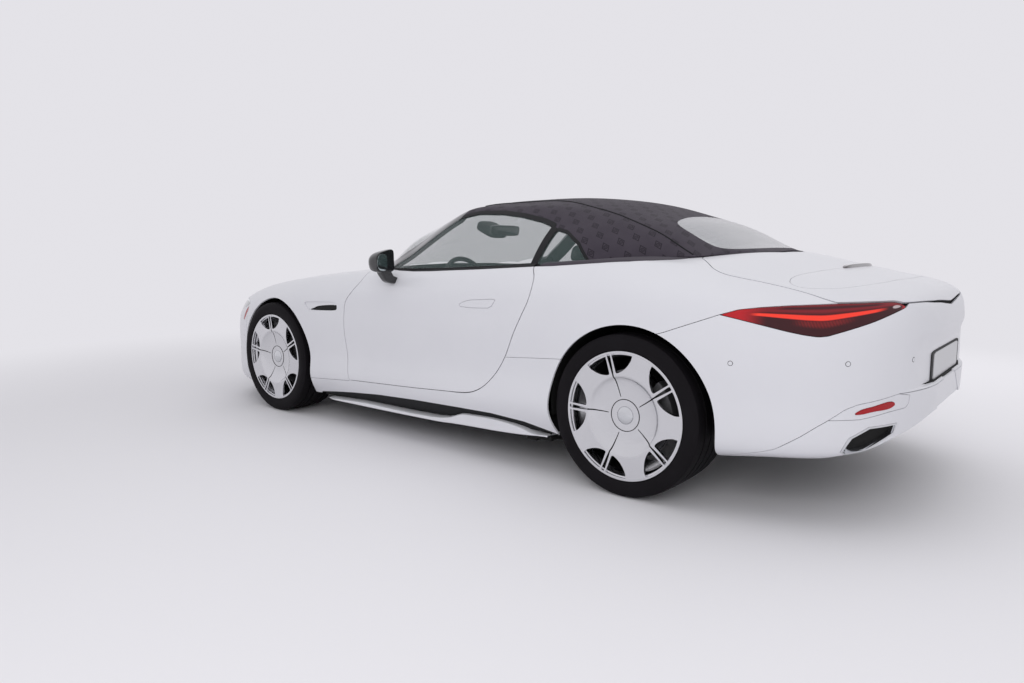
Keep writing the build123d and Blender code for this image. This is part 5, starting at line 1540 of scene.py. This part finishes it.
def makeDash():
    # the pad over the dashboard, raised in front of the driver, with a vent at each end and two screens
    p = smoothLine(cabin["dash"], 5, closed=True)
    x = np.linspace(-cabin["dashHalf"], cabin["dashHalf"], 61)
    at, wide, rise = cabin["binnacle"]
    hump = rise * np.exp(-((x - at) / wide) ** 4)
    end = 1 - 0.06 * np.clip((np.abs(x) - 660) / 24, 0, 1)
    grid = np.empty((len(x), len(p), 3))
    grid[..., 0] = x[:, None]
    middle = p.mean(0)
    grid[..., 1] = middle[0] + (p[:, 0] - middle[0]) * end[:, None]
    high = np.clip((p[:, 1] - 760) / 100, 0, 1)
    grid[..., 2] = middle[1] + (p[:, 1] - middle[1]) * end[:, None] + hump[:, None] * high
    loft("dash_pad", grid, "chassis", "soft")
    for name, facts in cabin["screens"].items():
        pillow(name, facts, 0, "gloss", 1, 16)
    (side, y, z), radius = cabin["vents"]
    ring = ringSection(radius, 32)
    for number, x in ((0, -side), (3, side)):
        path = np.column_stack([x + ring[:, 0], np.full(len(ring), y), z + ring[:, 1]])
        carry(f"vent_ring_{number}", path, (0, -1, 0), ringSection(4.0, 10), "chassis", "bright",
              closed=True)


def placedNodes(names, finish):
    # a CAD solid that stays as it is gets a worked finish
    for name in names:
        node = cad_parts.get(name)
        if node is not None:
            for holder in node.material_slots:
                holder.material = finishes[finish].made


makeSeats()
makeDash()
placedNodes(["boot_tub", "firewall", "floor_pan", "front_rails", "rear_bulkhead", "rear_liners", "rear_posts", "sills",
             "side_skirts"], "dark")
placedNodes(["cowl_panel", "front_grille"], "trim")
placedNodes(["dashboard", "steering_wheel"], "soft")
placedNodes(["exhaust_tips"], "bright")
placedNodes(["engine_block", "front_subframe", "rear_axle", "knuckle_left", "knuckle_right"], "steel")
placedNodes([f"brake_disc_{end}_{name}" for end in ("front", "rear") for name, _ in sides], "disc")
print("cabin made")

# Mirrors.

mirrorShape = {
    # each part: its outline seen from behind (x, z), and its size at distances along the car
    "housing": ([(1062, 1027), (1040, 1052), (1000, 1066), (945, 1070), (938, 1020), (944, 956), (1000, 950),
                 (1052, 954), (1064, 980)],
                [(-168, 0.955), (-171, 0.985), (-178, 1.0), (-200, 0.99), (-226, 0.93), (-246, 0.82), (-257, 0.66),
                 (-261, 0.45)]),
    "foot": ([(1012, 958), (990, 918), (962, 892), (910, 884), (884, 890), (886, 912), (920, 924), (948, 960)],
             [(-238, 0.86), (-233, 0.98), (-225, 1.0), (-204, 1.0), (-196, 0.98), (-191, 0.86)]),
    "glass": ([(1055, 1020), (1036, 1046), (993, 1040), (990, 1000), (993, 965), (1040, 962), (1054, 978)],
              [(-169.4, 1.0), (-167.4, 1.0), (-166.8, 0.985)]),
    "reach": 1061.0,
    # as for a seat's pads: middle, half sizes, lean, squareness, crown, bolsters
    "cabin": ((-16.0, -190.0, 1188.0), (140.0, 34.0, 12.0), 82.0, 5.0, 2.0, 0.0),
    "sensor": ((0.0, -285.0, 1196.0), (84.0, 86.0, 34.0), -24.0, 4.0, 2.0, 0.0),
}


def stacked(part, sideName, sign, finish):
    # a mirror's part: its outline scaled about its middle at each distance along the car
    points, rows = mirrorShape[part]
    line = smoothLine(points, 6, closed=True)[:-1]
    middle = line.mean(0)
    grid = []
    for y, size in rows:
        q = middle + (line - middle) * size
        grid.append(np.column_stack([np.minimum(q[:, 0], mirrorShape["reach"]) * sign, np.full(len(q), y), q[:, 1]]))
    return loft(f"mirror_{part}_{sideName}", np.stack(grid), "door_" + sideName[0], finish, angle=50.0)


def makeMirrors():
    for name, sign in sides:
        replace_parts(stacked("housing", name, sign, "gloss"), "mirror_" + name)
        stacked("foot", name, sign, "gloss")
        stacked("glass", name, sign, "mirrorGlass")
    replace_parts(pillow("cabin_mirror", mirrorShape["cabin"], 0, "gloss"), "interior_mirror")
    pillow("sensor_housing", mirrorShape["sensor"], 0, "trim")


makeMirrors()
print("mirrors made")

# Lamps.


def lampFinishes():
    red = finishes["redLens"] = Finish("redLens", coatWeight=0.3, coatRoughness=0.05, roughness=0.2,
                                       specularIORLevel=0.2)
    u, v = red.uv()
    # u runs along the lamp from its outer tip, v from its lower to its upper edge
    base = red.mix(red.noise(20.0, 3.0), (0.030, 0.004, 0.006), (0.048, 0.005, 0.008))
    base = red.mix(v.ramp(0.66, 0.80), base, (0.20, 0.010, 0.016))
    brow = v.ramp(0.98, 0.90) * v.ramp(0.80, 0.88) * u.ramp(0.25, 0.35) * u.ramp(0.86, 0.78)
    base = red.mix(brow, base, (0.045, 0.006, 0.010))
    base = red.mix(u.ramp(0.26, 0.10).most(u.ramp(0.955, 0.985)), base, (0.46, 0.012, 0.018))
    low = v.ramp(0.50, 0.44) * v.ramp(0.22, 0.36) * u.ramp(0.36, 0.46) * u.ramp(0.72, 0.60)
    ribs = (u * 880.0).sine().ramp(-0.2, 0.8) * low
    base = red.mix(ribs * 0.55, base, (0.55, 0.03, 0.03))
    bar = (v - 0.58).size().ramp(0.105, 0.055) * u.ramp(0.15, 0.21) * u.ramp(0.88, 0.79)
    streak = (u * 3.0 + v * 16.0).sine().ramp(0.985, 1.0) * u.ramp(0.45, 0.6)
    eye = (((u - 0.925) / 0.028).power(2.0) + ((v - 0.62) / 0.16).power(2.0)).ramp(1.1, 0.7)
    base = red.mix((bar - streak * 0.5).clipped(), base, (0.90, 0.045, 0.025))
    base = red.mix(eye, base, (0.50, 0.42, 0.43))
    red.set(baseColor=base, emissionColor=red.mix(bar, (0, 0, 0), (0.9, 0.06, 0.03)), emissionStrength=0.06)
    clear = finishes["clearLens"] = Finish("clearLens", coatWeight=1.0, coatRoughness=0.03, roughness=0.12)
    u, v = clear.uv()
    eye = ((u - 0.35).power(2.0) * 12.0 + (v - 0.5).power(2.0) * 3.0).ramp(0.35, 0.2)
    brow = v.ramp(0.80, 0.86)
    base = clear.mix(clear.noise(16.0), (0.10, 0.11, 0.12), (0.16, 0.17, 0.18))
    base = clear.mix(eye * 0.6, base, (0.45, 0.47, 0.50))
    clear.set(baseColor=clear.mix(brow, base, (0.85, 0.87, 0.9)))


def lensUv(sheet, line):
    # u along the lamp and v between its lower and upper edges at that place, added as columns
    t = sheet.cols[:, 6]
    low, high = line[:, 0].min(), line[:, 0].max()
    stops = np.linspace(low, high, 60)
    a, b = line, np.roll(line, -1, axis=0)
    edges = []
    for s in stops:
        hit = (np.minimum(a[:, 0], b[:, 0]) <= s) & (np.maximum(a[:, 0], b[:, 0]) >= s) & (a[:, 0] != b[:, 0])
        z = a[hit, 1] + (b[hit, 1] - a[hit, 1]) * (s - a[hit, 0]) / (b[hit, 0] - a[hit, 0])
        edges.append((z.min(), z.max()))
    foot, top = (np.interp(t, stops, edge) for edge in zip(*edges))
    v = (sheet.p[:, 2] - foot) / np.maximum(top - foot, 1.0)
    return Sheet(np.column_stack([sheet.cols[:, :7], (t - low) / (high - low), np.clip(v, 0, 1)]), sheet.tris)


def makeLamps():
    lampsFrom, inset, wall = 1600, 1.2, 12.0
    back, front = beyond(bodyWhole, 1, lampsFrom), beyond(bodyWhole, 1, -lampsFrom, -1.0)
    for name, sheet, line, slot, look, replaced in (
            ("tail_lenses", finerTip(back), tailLine, "lamp_red", "redLens", "tail_lamps"),
            ("head_lenses", front, headLine, "lamp_clear", "clearLens", "headlamps")):
        lens = lensUv(inside(sheet, "side", line, inset), line).moved(-1.0)
        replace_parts(shell(name, lens, wall, "chassis", look, [7, 8]), replaced)


lampFinishes()
makeLamps()
print("lamps made")
